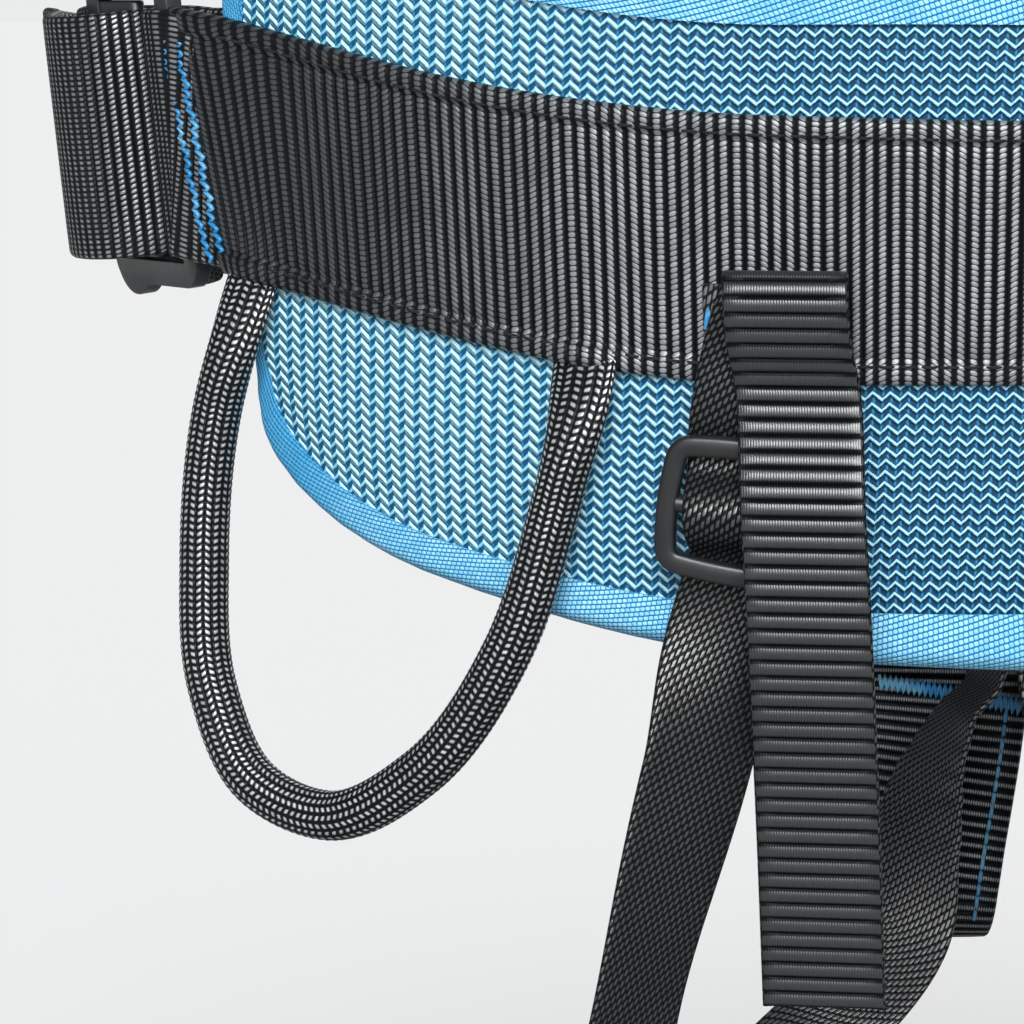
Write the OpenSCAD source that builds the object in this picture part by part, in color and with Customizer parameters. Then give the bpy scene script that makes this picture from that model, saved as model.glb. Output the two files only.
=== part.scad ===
// Climbing harness: a padded waist belt with two gear loops, a belay loop and two leg loops.
// Millimetres. Z is up, the wearer's front faces -Y and the wearer's left side is +X.
// A ring is walked by an angle: 0 at the middle of its pad, 90 at +X, 180 opposite the pad.

/* [Waist ring] */
// Half the width of the waist opening, side to side
waist_half_width = 150; // [144:2:156]
// Half the depth of the waist opening, front to back
waist_half_depth = 108; // [104:2:112]
// Outward lean of the belt for each millimetre of height
belt_flare = 0.12; // [0.08:0.01:0.14]
// How far the belt climbs from the back to the hips
side_rise = 18; // [14:1:20]
// How far the webbing drops again from the hips to the front
front_dip = 28; // [22:2:32]

/* [Back pad] */
// Angle at which the pad ends
pad_end = 58; // [56:0.5:58.5]
// Height of the pad above the middle of the load band
pad_top = 46; // [42:1:50]
// Depth of the pad below the middle of the load band
pad_drop = 69; // [64:1:72]
// Lining next to the body
lining_thickness = 1; // [0.8:0.1:1.2]
// Foam layer
foam_thickness = 6; // [5:0.5:6.5]
// Spacer mesh on the outside
mesh_thickness = 1.6; // [1.2:0.1:1.8]
// Width of the bound edge
binding_width = 10; // [8:0.5:11]
// How far the foam draws in towards its edges
pad_crown = 1.2; // [0.6:0.1:1.6]

/* [Load band] */
// Height of the load band
band_height = 43.5; // [42:0.5:45]
// Thickness of the load band
band_thickness = 1.6; // [1.4:0.1:1.8]
// Angle at which the load band ends
band_end = 60; // [59.5:0.1:60.3]
// Height of each folded hem
hem_height = 4; // [3:0.5:5]
// Extra thickness of each folded hem
hem_thickness = 0.6; // [0.4:0.1:0.8]

/* [Waist webbing] */
// Width of the waist webbing
webbing_width = 43; // [42:0.5:46]
// Thickness of all the load webbing
webbing_thickness = 2; // [1.8:0.1:2.2]
// Angle at which each free tail ends
tail_end = 128; // [124:1:132]
// Angle of each elastic keeper
keeper_angle = 113; // [110:1:116]
// Length of a keeper along the webbing
keeper_length = 12; // [10:1:14]
// Thickness of the keeper's elastic
keeper_thickness = 1; // [0.8:0.1:1.2]

/* [Buckles] */
// Angle of the middle of each waist buckle
buckle_angle = 72.5; // [72:0.1:73]
// Thickness of a buckle frame
frame_thickness = 3; // [2.6:0.1:3.2]
// Width of a frame's end bars
frame_bar = 5; // [4.5:0.1:5.2]
// Length of a frame's window
window_length = 25; // [24.5:0.1:26]
// Height of a frame's side rails
rail_height = 4.5; // [3.5:0.1:4.8]
// Radius of the finger ears at the front of the rails
ear_radius = 8; // [7:0.5:8.5]
// How far the finger ears stand past the rails
ear_rise = 2; // [1.5:0.1:2.5]
// Thickness of a slider bar
slider_thickness = 3.2; // [2.8:0.1:3.3]
// Distance a slider travels to free its webbing
slider_travel = 4; // [3:0.5:4.5]
// How far the folded waist webbing stands off its buckle
fold_rise = 12.5; // [10:0.5:14]

/* [Gear loops] */
// Outer diameter of the braided sleeve
gear_diameter = 8.5; // [8:0.5:9.5]
// Diameter of the stiff core
gear_core_diameter = 6; // [5:0.5:6.5]
// How far a gear loop hangs below its front end
gear_drop = 84; // [76:2:90]
// Angle of the front end of a gear loop
gear_front = 56; // [55:0.5:56.5]
// Angle of the back end of a gear loop
gear_back = 30; // [29:0.5:31]

/* [Risers] */
// Angle of each riser strap
riser_angle = 19.5; // [19:0.5:20]
// Width of the riser and hanger straps
riser_width = 20; // [18:0.5:20.5]
// Thickness of the riser and hanger straps
riser_thickness = 1.2; // [1:0.1:1.3]
// How far a riser's free tail hangs below its fold
riser_tail = 119; // [100:1:130]
// Thickness of the anchor strap that holds the glide
anchor_thickness = 1; // [0.8:0.1:1.1]
// Height of the glide's middle bar
glide_height = -41; // [-43:0.5:-40]
// Radius of the glide's middle bar
glide_bar = 1.5; // [1.3:0.1:1.6]
// Height of the glide's top and bottom bars
glide_rail = 3.5; // [3:0.1:4]
// Thickness of the glide
glide_thickness = 2.8; // [2.6:0.1:3]

/* [Belay loop] */
// Width of the belay loop
belay_width = 32; // [26:1:34]
// Thickness of the belay loop
belay_thickness = 3.6; // [3:0.1:4]
// Clear space across the inside of the belay loop
belay_eye = 15; // [14:0.5:17]
// Height of the bottom of the belay loop
belay_bottom = -150; // [-156:1:-146]
// Height of the tie-in webbing
tie_width = 14; // [12:1:15]
// Thickness of the tie-in webbing
tie_thickness = 3; // [2.4:0.2:3.2]
// Rise of the upper tie-in towards its middle, where the belay loop hangs
tie_crown = 4.2; // [4:0.1:4.6]
// Height of the middle of the lower tie-in loop
lower_tie_height = -83; // [-86:1:-80]

/* [Leg loops] */
// Half the width of a leg opening
leg_half_width = 78; // [76:1:80]
// Half the depth of a leg opening
leg_half_depth = 84; // [82:1:86]
// Distance of each leg opening from the middle plane
leg_offset = 98; // [97:1:100]
// Height of the middle of a leg opening
leg_height = -214; // [-220:1:-210]
// Outward lean of a leg loop for each millimetre of height
leg_flare = 0.08; // [0.04:0.01:0.1]
// Angle at which a leg pad ends
leg_pad_end = 112; // [108:1:113]
// Half the height of a leg pad
leg_pad_half = 27; // [25:1:30]
// Foam layer of a leg pad
leg_foam = 4; // [3:0.5:4.5]
// Width of the bound edge of a leg pad
leg_binding = 8; // [7:0.5:9]
// Height of the face band on a leg pad
leg_band_height = 30; // [28:1:32]
// Gap between a leg pad's face band and its buckle frame
leg_loop_gap = 7.5; // [6.5:0.5:9]
// Width of the leg webbing
leg_webbing = 25; // [22:0.5:26]

/* [Clearances] */
// Gap between sewn layers
layer_gap = 0.25; // [0.2:0.05:0.3]
// Gap between webbing and a buckle
buckle_gap = 0.5; // [0.45:0.05:0.55]
// Gap at each end of a slider bar
slider_gap = 0.4; // [0.3:0.05:0.5]
// Gap between a keeper and its webbing
keeper_gap = 1; // [0.9:0.05:1.1]

/* [Hidden] */
$fn = 48;

black = [0.10, 0.10, 0.11];
grey = [0.24, 0.25, 0.27];
blue = [0.10, 0.35, 0.75];
pale_blue = [0.40, 0.70, 0.90];
foam_grey = [0.55, 0.56, 0.58];

// Small helpers
function clamp01(x) = max(0, min(1, x));
function smooth(x) = let (c = clamp01(x)) c * c * (3 - 2 * c);
function mix(a, b, f) = a + (b - a) * f;
function unit(v) = v / norm(v);
function flip_x(v) = [-v[0], v[1], v[2]];
function reverse(v) = [for (i = [len(v) - 1 : -1 : 0]) v[i]];
function steps(a, b, n) = [for (i = [0 : n]) mix(a, b, i / n)];

// Smooth curve through hand-set points, n spans between each two
function curve_at(p, i, f) =
  let (
    a = p[max(0, i - 1)],
    b = p[i],
    c = p[min(len(p) - 1, i + 1)],
    d = p[min(len(p) - 1, i + 2)]
  )
  b + (c - a) * (f / 2) + (2 * a - 5 * b + 4 * c - d) * (f * f / 2)
    + (3 * b - a - 3 * c + d) * (f * f * f / 2);
function curve(p, n) = concat(
  [for (i = [0 : len(p) - 2], k = [0 : n - 1]) curve_at(p, i, k / n)],
  [p[len(p) - 1]]);

// A ring is [half width, half depth, flare]
waist = [waist_half_width, waist_half_depth, belt_flare];
leg = [leg_half_width, leg_half_depth, leg_flare];

function ring_normal(ring, t) = unit([sin(t) / ring[0], cos(t) / ring[1], 0]);
function ring_tangent(ring, t) = unit([ring[0] * cos(t), -ring[1] * sin(t), 0]);
function ring_speed(ring, t) = norm([ring[0] * cos(t), ring[1] * sin(t)]) * PI / 180;
function ring_up(ring, t) = unit(ring_normal(ring, t) * ring[2] + [0, 0, 1]);
function ring_out(ring, t) = unit(ring_normal(ring, t) - [0, 0, ring[2]]);
function ring_bend(ring, t) = pow(ring_speed(ring, t) * 180 / PI, 3) / (ring[0] * ring[1]);
function on_ring(ring, t, z, r) =
  [ring[0] * sin(t), ring[1] * cos(t), z] + ring_normal(ring, t) * (r + ring[2] * z);

// A site is a flat place on a ring: origin, tangent, outward, up
function site(ring, t, z, r) =
  [on_ring(ring, t, z, r), ring_tangent(ring, t), ring_out(ring, t), ring_up(ring, t)];
function at(place, s, h, v = 0) = place[0] + place[1] * s + place[2] * h + place[3] * v;

module on_site(ring, t, z, r) {
  tangent = ring_tangent(ring, t);
  translate(on_ring(ring, t, z, r))
    rotate([0, 0, atan2(tangent[1], tangent[0])])
      rotate([-atan(ring[2]), 0, 0])
        children();
}

// Closed skin through rings of points
module loft(rings, closed = false) {
  n = len(rings[0]);
  m = len(rings);
  last = closed ? m - 1 : m - 2;
  points = [for (ring = rings) each ring];
  sides = [
    for (i = [0 : last], j = [0 : n - 1])
      let (
        a = i * n + j,
        b = i * n + (j + 1) % n,
        c = ((i + 1) % m) * n + (j + 1) % n,
        d = ((i + 1) % m) * n + j
      )
      each [[a, b, c], [a, c, d]]
  ];
  ends = closed ? [] : [[for (j = [n - 1 : -1 : 0]) j], [for (j = [0 : n - 1]) (m - 1) * n + j]];
  polyhedron(points, concat(sides, ends), convexity = 8);
}

// Flat strap along stations [centre, width direction]
function path_tangent(path, i, closed) =
  let (m = len(path))
  closed
    ? unit(path[(i + 1) % m][0] - path[(i + m - 1) % m][0])
    : unit(path[min(i + 1, m - 1)][0] - path[max(i - 1, 0)][0]);
function strap_ring(path, i, width, thickness, closed) =
  let (
    along = path_tangent(path, i, closed),
    across = unit(path[i][1] - along * (path[i][1] * along)) * width / 2,
    out = cross(along, unit(across)) * thickness / 2,
    c = path[i][0]
  )
  [c - across - out, c - across + out, c + across + out, c + across - out];
module strap(path, width, thickness, closed = false) {
  loft([for (i = [0 : len(path) - 1]) strap_ring(path, i, width, thickness, closed)], closed);
}
function mirrored(path) = [for (p = path) [flip_x(p[0]), flip_x(p[1])]];

// Rise of the belt's middle line around the waist
function lift(t) =
  side_rise * smooth((abs(t) - 18) / 52) - front_dip * smooth((abs(t) - 84) / 96);

// A pad is [end angle, top, drop, slope, corner start, corner height, lifted]
back_pad = [pad_end, pad_top, pad_drop, 0.16, pad_end - 15, 16, 1];
leg_pad = [leg_pad_end, leg_pad_half, leg_pad_half, 0, leg_pad_end - 24, 14, 0];

function corner(x) = 1 - sqrt(max(0, 1 - x * x));
function edge_climb(pad, t) =
  pad[3] * (sqrt(t * t + 64) - 8)
    + pad[5] * corner(clamp01((abs(t) - pad[4]) / (pad[0] - pad[4])));
function pad_mid(pad, t) = pad[6] * lift(t);
function pad_low(pad, t) = pad_mid(pad, t) - pad[2] + edge_climb(pad, t);
function pad_high(pad, t) = pad_mid(pad, t) + pad[1] - edge_climb(pad, t) * 0.8;

// Stations along a pad, packed closer towards its ends
pad_spans = 30;
function pad_share(i) = sin(90 * (2 * i / pad_spans - 1));
function inset_angle(ring, pad, inset) = pad[0] - inset / ring_speed(ring, pad[0]);
function low_point(ring, pad, i, inset) =
  [pad_share(i) * inset_angle(ring, pad, inset), pad_low(pad, pad_share(i) * pad[0]) + inset];
function high_point(ring, pad, i, inset) =
  [pad_share(i) * inset_angle(ring, pad, inset), pad_high(pad, pad_share(i) * pad[0]) - inset];

// Pad layer from r0 to r1 whose inner and outer faces are crowned by drop0 and drop1
function crown(f) = pow(abs(2 * f - 1), 4);
function face_shares(drop) = drop == 0 ? [0, 1] : [0, 0.08, 0.25, 0.5, 0.75, 0.92, 1];
function layer_face(ring, lo, hi, r, drop) =
  [for (f = face_shares(drop)) on_ring(ring, lo[0], mix(lo[1], hi[1], f), r - drop * crown(f))];
function layer_ring(ring, pad, i, inset, r0, r1, drop0, drop1) =
  let (lo = low_point(ring, pad, i, inset), hi = high_point(ring, pad, i, inset))
  concat(layer_face(ring, lo, hi, r0, drop0), reverse(layer_face(ring, lo, hi, r1, drop1)));
module pad_layer(ring, pad, inset, r0, r1, drop0, drop1) {
  loft([for (i = [0 : pad_spans]) layer_ring(ring, pad, i, inset, r0, r1, drop0, drop1)]);
}

// Bound edge that wraps a pad of the given thickness
module pad_binding(ring, pad, width, thickness) {
  stations = concat(
    [for (i = [0 : pad_spans]) [low_point(ring, pad, i, 0), low_point(ring, pad, i, width)]],
    [for (i = [pad_spans : -1 : 0]) [high_point(ring, pad, i, 0), high_point(ring, pad, i, width)]]);
  soft = thickness * 0.22;
  rings = [
    for (e = stations)
      let (m = mix(e[0], e[1], 0.35))
      [
        on_ring(ring, e[0][0], e[0][1], soft),
        on_ring(ring, m[0], m[1], 0),
        on_ring(ring, e[1][0], e[1][1], 0),
        on_ring(ring, e[1][0], e[1][1], thickness),
        on_ring(ring, m[0], m[1], thickness),
        on_ring(ring, e[0][0], e[0][1], thickness - soft)
      ]
  ];
  loft(rings, closed = true);
}

// Face band with a folded hem along both edges
function band_ring(ring, t, mid, height, hem, r0, r1, thick) =
  let (lo = mid - height / 2, hi = mid + height / 2)
  [
    on_ring(ring, t, lo, r0), on_ring(ring, t, hi, r0),
    on_ring(ring, t, hi, r1 + thick), on_ring(ring, t, hi - hem, r1 + thick),
    on_ring(ring, t, hi - hem, r1), on_ring(ring, t, lo + hem, r1),
    on_ring(ring, t, lo + hem, r1 + thick), on_ring(ring, t, lo, r1 + thick)
  ];
module face_band(ring, pad, last, spans, height, hem, r0, r1, thick) {
  loft([
    for (t = steps(-last, last, spans))
      band_ring(ring, t, pad_mid(pad, t), height, hem, r0, r1, thick)
  ]);
}

// Radial build of the waist belt, from the body outwards
foam_r = lining_thickness + layer_gap;
mesh_r = foam_r + foam_thickness + layer_gap;
pad_r = mesh_r + mesh_thickness;
band_r = pad_r + layer_gap;
band_outer = band_r + band_thickness;
hem_outer = band_outer + hem_thickness;

// Radial build of a leg loop
leg_mesh_r = foam_r + leg_foam + layer_gap;
leg_pad_r = leg_mesh_r + mesh_thickness;
leg_band_r = leg_pad_r + layer_gap;
leg_band_outer = leg_band_r + band_thickness;
leg_hem_outer = leg_band_outer + hem_thickness;

module back_lining() {
  color(grey) pad_layer(waist, back_pad, binding_width, 0, lining_thickness, 0, 0);
}
module back_foam() {
  color(foam_grey)
    pad_layer(waist, back_pad, binding_width, foam_r, foam_r + foam_thickness, 0, pad_crown);
}
module back_mesh() {
  color(pale_blue)
    pad_layer(waist, back_pad, binding_width, mesh_r, pad_r, pad_crown, pad_crown);
}
module back_binding() {
  color(blue) pad_binding(waist, back_pad, binding_width - layer_gap, pad_r);
}
module load_band() {
  color(black)
    face_band(waist, back_pad, band_end, 44, band_height, hem_height, band_r, band_outer,
      hem_thickness);
}

// Buckle sizes along the webbing, measured forwards from the buckle's middle
web_half = webbing_thickness / 2;
strand = frame_thickness / 2 + buckle_gap + web_half;
window_back = -window_length * 0.6;
window_front = window_back + window_length;
loop_turn = window_back - frame_thickness / 2 + buckle_gap + web_half - 0.6;
strap_turn = loop_turn + strand + web_half + buckle_gap + web_half + strand;
slider_back = strap_turn - strand + web_half + slider_gap + slider_travel;
slider_front = window_front - slider_gap - 0.2;
buckle_seat = 2 + webbing_thickness + buckle_gap + frame_thickness / 2;

function turn(place, s, radius, from, to, n) =
  [for (a = steps(from, to, n)) [at(place, s + radius * cos(a), radius * sin(a)), place[3]]];
function strand_run(place, from, to, h, n) =
  [for (s = steps(from, to, n)) [at(place, s, h), place[3]]];

// Webbing that leaves the buckle flat and settles back on to the ring
function settle_span(ring) = 0.26 * ring[0] / ring_speed(ring, 90);
function leave_angle(ring, angle) = angle + 30 / ring_speed(ring, angle);
function leave_gap(ring, angle) = pow(26, 2) / (2 * ring_bend(ring, angle));
function settle(ring, angle, t) =
  leave_gap(ring, angle) * (1 - smooth((t - leave_angle(ring, angle)) / settle_span(ring)));
function inner_r(ring, angle, t) = buckle_seat - strand + settle(ring, angle, t);
function outer_r(ring, angle, t) =
  inner_r(ring, angle, t)
    + mix(2 * strand, webbing_thickness + 2 * layer_gap,
        smooth((t - leave_angle(ring, angle)) / (settle_span(ring) * 0.8)));
function ring_station(ring, t, z, r) = [on_ring(ring, t, z, r), ring_up(ring, t)];

// Route of a tail that stands off its buckle: along the buckle from the turn, share of the rise
fold_route = [
  [29, 0.34], [23, 0.62], [17, 0.87], [11, 1], [5, 0.97], [0.6, 0.81], [-1.9, 0.56], [-2.9, 0.31], [-3.1, 0.13]
];
function fold_back(place, rise) =
  rise == 0
    ? concat(strand_run(place, 22, strap_turn, strand, 3), turn(place, strap_turn, strand, 108, 252, 6))
    : concat(
        [for (p = fold_route) [at(place, strap_turn + p[0], rise * p[1]), place[3]]],
        turn(place, strap_turn, strand, 180, 252, 3));

// Tail, turn round the slider and inner run, up to the angle last
function threaded(ring, pad, angle, tail, last, n, rise = 0) =
  let (
    place = site(ring, angle, pad_mid(pad, angle), buckle_seat),
    leave = leave_angle(ring, angle)
  )
  concat(
    [for (t = steps(tail, leave, 9)) ring_station(ring, t, pad_mid(pad, t), outer_r(ring, angle, t))],
    fold_back(place, rise),
    strand_run(place, strap_turn, 22, -strand, 3),
    [for (t = steps(leave, last, n)) ring_station(ring, t, pad_mid(pad, t), inner_r(ring, angle, t))]);

// Short webbing loop that ties a buckle's back bar to the end of a band
function bar_loop(ring, pad, angle, end, over, pad_edge) =
  let (place = site(ring, angle, pad_mid(pad, angle), buckle_seat))
  concat(
    [for (t = steps(end - 4, end - 0.6, 3)) ring_station(ring, t, pad_mid(pad, t), over)],
    strand_run(place, -20, loop_turn, strand, 2),
    turn(place, loop_turn, strand, 72, -72, 6),
    strand_run(place, loop_turn, -20, -strand, 2),
    [for (t = [end + 0.8, pad_edge + 0.5]) ring_station(ring, t, pad_mid(pad, angle), over * 0.45)]);

module rounded_plate(x0, x1, half, radius) {
  translate([x0, radius - half]) square([x1 - x0, 2 * half - 2 * radius]);
  translate([x0 + radius, -half]) square([x1 - x0 - 2 * radius, 2 * half]);
  for (x = [x0 + radius, x1 - radius], y = [-1, 1])
    translate([x, y * (half - radius)]) circle(radius);
}

// Frame lying in the XZ plane, its length along X
module buckle_frame(width) {
  window_half = width / 2 + 2 * buckle_gap;
  ear_x = window_front + frame_bar - ear_radius;
  rotate([90, 0, 0])
    linear_extrude(frame_thickness, center = true)
      difference() {
        union() {
          rounded_plate(window_back - frame_bar, window_front + frame_bar,
            window_half + rail_height, frame_bar);
          for (y = [-1, 1])
            translate([ear_x, y * (window_half + rail_height + ear_rise - ear_radius)])
              circle(ear_radius);
        }
        translate([window_back, -window_half]) square([window_length, 2 * window_half]);
      }
}

module buckle_slider(width) {
  length = width + 4 * buckle_gap - 2 * slider_gap;
  round = slider_thickness / 2;
  linear_extrude(length, center = true) {
    translate([slider_back + round, -round])
      square([slider_front - slider_back - slider_thickness, slider_thickness]);
    translate([slider_back + round, 0]) circle(round);
    translate([slider_front - round, 0]) circle(round);
  }
}

// Elastic band round the inner run and the tail
module keeper(ring, pad, angle, where, width) {
  low = inner_r(ring, angle, where) - web_half - keeper_gap - keeper_thickness / 2;
  high = outer_r(ring, angle, where) + web_half + keeper_gap + keeper_thickness / 2;
  half = width / 2 + keeper_gap + keeper_thickness / 2;
  mid = pad_mid(pad, where);
  lead = (pad_mid(pad, where + 1) - pad_mid(pad, where - 1)) / (2 * ring_speed(ring, where));
  across = unit(ring_tangent(ring, where) + [0, 0, lead]);
  bend = 1.2;
  outline = [
    for (c = [[low, -half, 180], [high, -half, 270], [high, half, 0], [low, half, 90]])
      let (sx = c[0] == low ? 1 : -1, sy = c[1] < 0 ? 1 : -1)
      each [for (a = [0, 45, 90]) [c[0] + sx * bend + bend * cos(c[2] + a),
        c[1] + sy * bend + bend * sin(c[2] + a)]]
  ];
  place = site(ring, where, mid, 0);
  side = cross(across, place[2]);
  strap([for (p = outline) [place[0] + place[2] * p[0] + side * -p[1], across]],
    keeper_length, keeper_thickness, closed = true);
}

waist_half_path = threaded(waist, back_pad, buckle_angle, tail_end, 180, 20, fold_rise);
module waist_strap() {
  other = reverse(mirrored(waist_half_path));
  color(black)
    strap(concat(waist_half_path, [for (i = [1 : len(other) - 1]) other[i]]),
      webbing_width, webbing_thickness);
}
module waist_loop_left() {
  color(black)
    strap(bar_loop(waist, back_pad, buckle_angle, band_end, hem_outer + 2 * layer_gap + web_half,
      pad_end), webbing_width, webbing_thickness);
}
module waist_loop_right() { mirror([1, 0, 0]) waist_loop_left(); }
module waist_frame_left() {
  color(grey) on_site(waist, buckle_angle, lift(buckle_angle), buckle_seat)
    buckle_frame(webbing_width);
}
module waist_frame_right() { mirror([1, 0, 0]) waist_frame_left(); }
module waist_slider_left() {
  color(grey) on_site(waist, buckle_angle, lift(buckle_angle), buckle_seat)
    buckle_slider(webbing_width);
}
module waist_slider_right() { mirror([1, 0, 0]) waist_slider_left(); }
module waist_keeper_left() {
  color(black) keeper(waist, back_pad, buckle_angle, keeper_angle, webbing_width);
}
module waist_keeper_right() { mirror([1, 0, 0]) waist_keeper_left(); }

// Gear loop: both ends turn on one line just below the lower hem
gear_radius = gear_diameter / 2;
gear_r = pad_r + 2 * layer_gap + gear_radius;
function gear_end(t) =
  on_ring(waist, t, lift(t) - band_height / 2 - 2 * layer_gap - gear_radius, gear_r);
gear_from = gear_end(gear_front);
gear_to = gear_end(gear_back);
gear_flat = [gear_to[0] - gear_from[0], gear_to[1] - gear_from[1], 0];
gear_chord = norm(gear_flat);
gear_fall = gear_to[2] - gear_from[2];
// Route in the loop's own plane: share of the chord, share of the drop
gear_route = [
  [0, 0], [-0.085, 0.21], [-0.124, 0.5], [-0.1, 0.76], [0.025, 0.94], [0.26, 1],
  [0.532, 0.9], [0.788, 0.65], [0.925, 0.37], [1, -gear_fall / gear_drop]
];
gear_spans = 3;
gear_line = [
  for (p = curve(gear_route, gear_spans)) gear_from + gear_flat * p[0] - [0, 0, gear_drop * p[1]]
];
gear_side = unit(cross(gear_flat, [0, 0, 1]));
gear_sides = 10;
function round_ring(c, along, radius, sides) =
  let (v = unit(cross(gear_side, along)))
  [for (k = [0 : sides - 1])
    c + (gear_side * cos(360 * k / sides) + v * sin(360 * k / sides)) * radius];
function line_tangent(line, i) = unit(line[min(i + 1, len(line) - 1)] - line[max(i - 1, 0)]);
function dome(line, along, radius, sides, sign) =
  let (angles = sign > 0 ? [85, 60, 30] : [30, 60, 85], c = sign > 0 ? line[0] : line[len(line) - 1])
  [for (a = angles) round_ring(c - along * sign * radius * sin(a), along, radius * cos(a), sides)];
module gear_tube(radius) {
  m = len(gear_line);
  loft(concat(
    dome(gear_line, line_tangent(gear_line, 0), radius, gear_sides, 1),
    [for (i = [0 : m - 1]) round_ring(gear_line[i], line_tangent(gear_line, i), radius, gear_sides)],
    dome(gear_line, line_tangent(gear_line, m - 1), radius, gear_sides, -1)));
}
module gear_loop_left() {
  color(black)
    difference() {
      gear_tube(gear_radius);
      gear_tube(gear_core_diameter / 2 + layer_gap);
    }
}
module gear_loop_right() { mirror([1, 0, 0]) gear_loop_left(); }
module gear_core_left() { color(grey) gear_tube(gear_core_diameter / 2); }
module gear_core_right() { mirror([1, 0, 0]) gear_core_left(); }

// Riser: distances h stand out from the belt's reference surface, v is height
riser_site = site(waist, riser_angle, 0, 0);
riser_half = riser_thickness / 2;
anchor_half = anchor_thickness / 2;
under_strand = pad_r + layer_gap + anchor_half;
over_strand = under_strand + anchor_thickness + layer_gap;
behind_bar = over_strand + anchor_half + 2 * layer_gap + riser_half;
glide_h = behind_bar + riser_half + layer_gap + glide_thickness / 2;
on_hem = hem_outer + layer_gap + anchor_half;
wrap_radius = glide_bar + layer_gap + anchor_half;
ride_radius = wrap_radius + anchor_half + layer_gap + riser_half;
// Along a slot the straps run at 45 degrees and touch the wrap circle
wrap_leave = wrap_radius * sin(45);
ride_leave = ride_radius * sin(45);
over_run = glide_h + 2 * wrap_leave - over_strand;
ride_run = glide_h + 2 * ride_leave - behind_bar;
slot_edge = (ride_radius + riser_half + 2 * layer_gap) / sin(45) + glide_thickness / 2;
glide_half = slot_edge + glide_rail;
glide_window = riser_width / 2 + 4 * layer_gap;

function riser_station(s, h, v) = [at(riser_site, s, h, v), riser_site[1]];
function around_bar(radius, from, to, n) =
  [for (a = steps(from, to, n)) [glide_h + radius * cos(a), glide_height + radius * sin(a)]];

anchor_start = -4;
// The anchor slants away from the side as it climbs from the glide to the band
anchor_slant = 2.7;
function anchor_shift(v) = -anchor_slant * smooth((v - glide_height - 8) / 14);
anchor_path = concat(
  [
    [on_hem, anchor_start], [on_hem, -band_height / 2 - 0.5],
    [over_strand + 0.4, -band_height / 2 - 4], [over_strand, glide_height + over_run + 2],
    [over_strand, glide_height + over_run]
  ],
  around_bar(wrap_radius, 45, -180, 9),
  [
    [mix(under_strand, glide_h - wrap_radius, 0.25), glide_height + over_run * 0.62],
    [under_strand, glide_height + over_run], [under_strand, -band_height / 2 - 1.5]
  ]);
module riser_anchor_left() {
  color(black)
    strap([for (p = anchor_path) riser_station(anchor_shift(p[1]), p[0], p[1])],
      riser_width, anchor_thickness);
}
module riser_anchor_right() { mirror([1, 0, 0]) riser_anchor_left(); }

module glide_plate() {
  difference() {
    rounded_plate(-glide_window - glide_rail, glide_window + glide_rail, glide_half, glide_rail);
    for (y = [-slot_edge, glide_bar])
      translate([-glide_window, y]) square([2 * glide_window, slot_edge - glide_bar]);
    translate([-glide_window, -glide_bar]) square([2 * glide_window, 2 * glide_bar]);
  }
}
module riser_glide_left() {
  color(grey)
    on_site(waist, riser_angle, 0, 0)
      translate([0, glide_h, glide_height]) {
        rotate([90, 0, 0]) linear_extrude(glide_thickness, center = true) glide_plate();
        rotate([0, 90, 0]) cylinder(h = 2 * glide_window + glide_rail, r = glide_bar, center = true);
      }
}
module riser_glide_right() { mirror([1, 0, 0]) riser_glide_left(); }

// Riser strap: sewn to the leg band, up through the glide, folded over and hanging free
leg_yaw = -30;
leg_tilt = 12;
function turn_z(v, a) = [v[0] * cos(a) - v[1] * sin(a), v[0] * sin(a) + v[1] * cos(a), v[2]];
function turn_x(v, a) = [v[0], v[1] * cos(a) - v[2] * sin(a), v[1] * sin(a) + v[2] * cos(a)];
function leg_turn(v) = turn_z(turn_x(v, -leg_tilt), leg_yaw);
leg_centre = [leg_offset, 6, leg_height];
function in_leg(v) = leg_centre + leg_turn(v);
module leg_place() {
  translate(leg_centre) rotate([0, 0, leg_yaw]) rotate([-leg_tilt, 0, 0]) children();
}

riser_leg_angle = -43;
leg_sewn_r = leg_hem_outer + layer_gap + riser_half;
function leg_station(t, z, r, across) = [in_leg(on_ring(leg, t, z, r)), leg_turn(across)];
leg_across = ring_tangent(leg, riser_leg_angle);
tail_out = glide_h + ride_radius + riser_thickness + layer_gap;
fold_v = -5;
// Route of the free tail: sideways, outwards, share of its length
tail_route = [
  [-8.8, -1, 0.06], [-10, 0.4, 0.14], [-10.5, 0.8, 0.3], [-10.5, 0.4, 0.48], [-11.1, -1, 0.73], [-11, -3, 1]
];
// Level width direction, turned from the side towards the back
function twist(a) = [cos(a), sin(a), 0];
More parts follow.
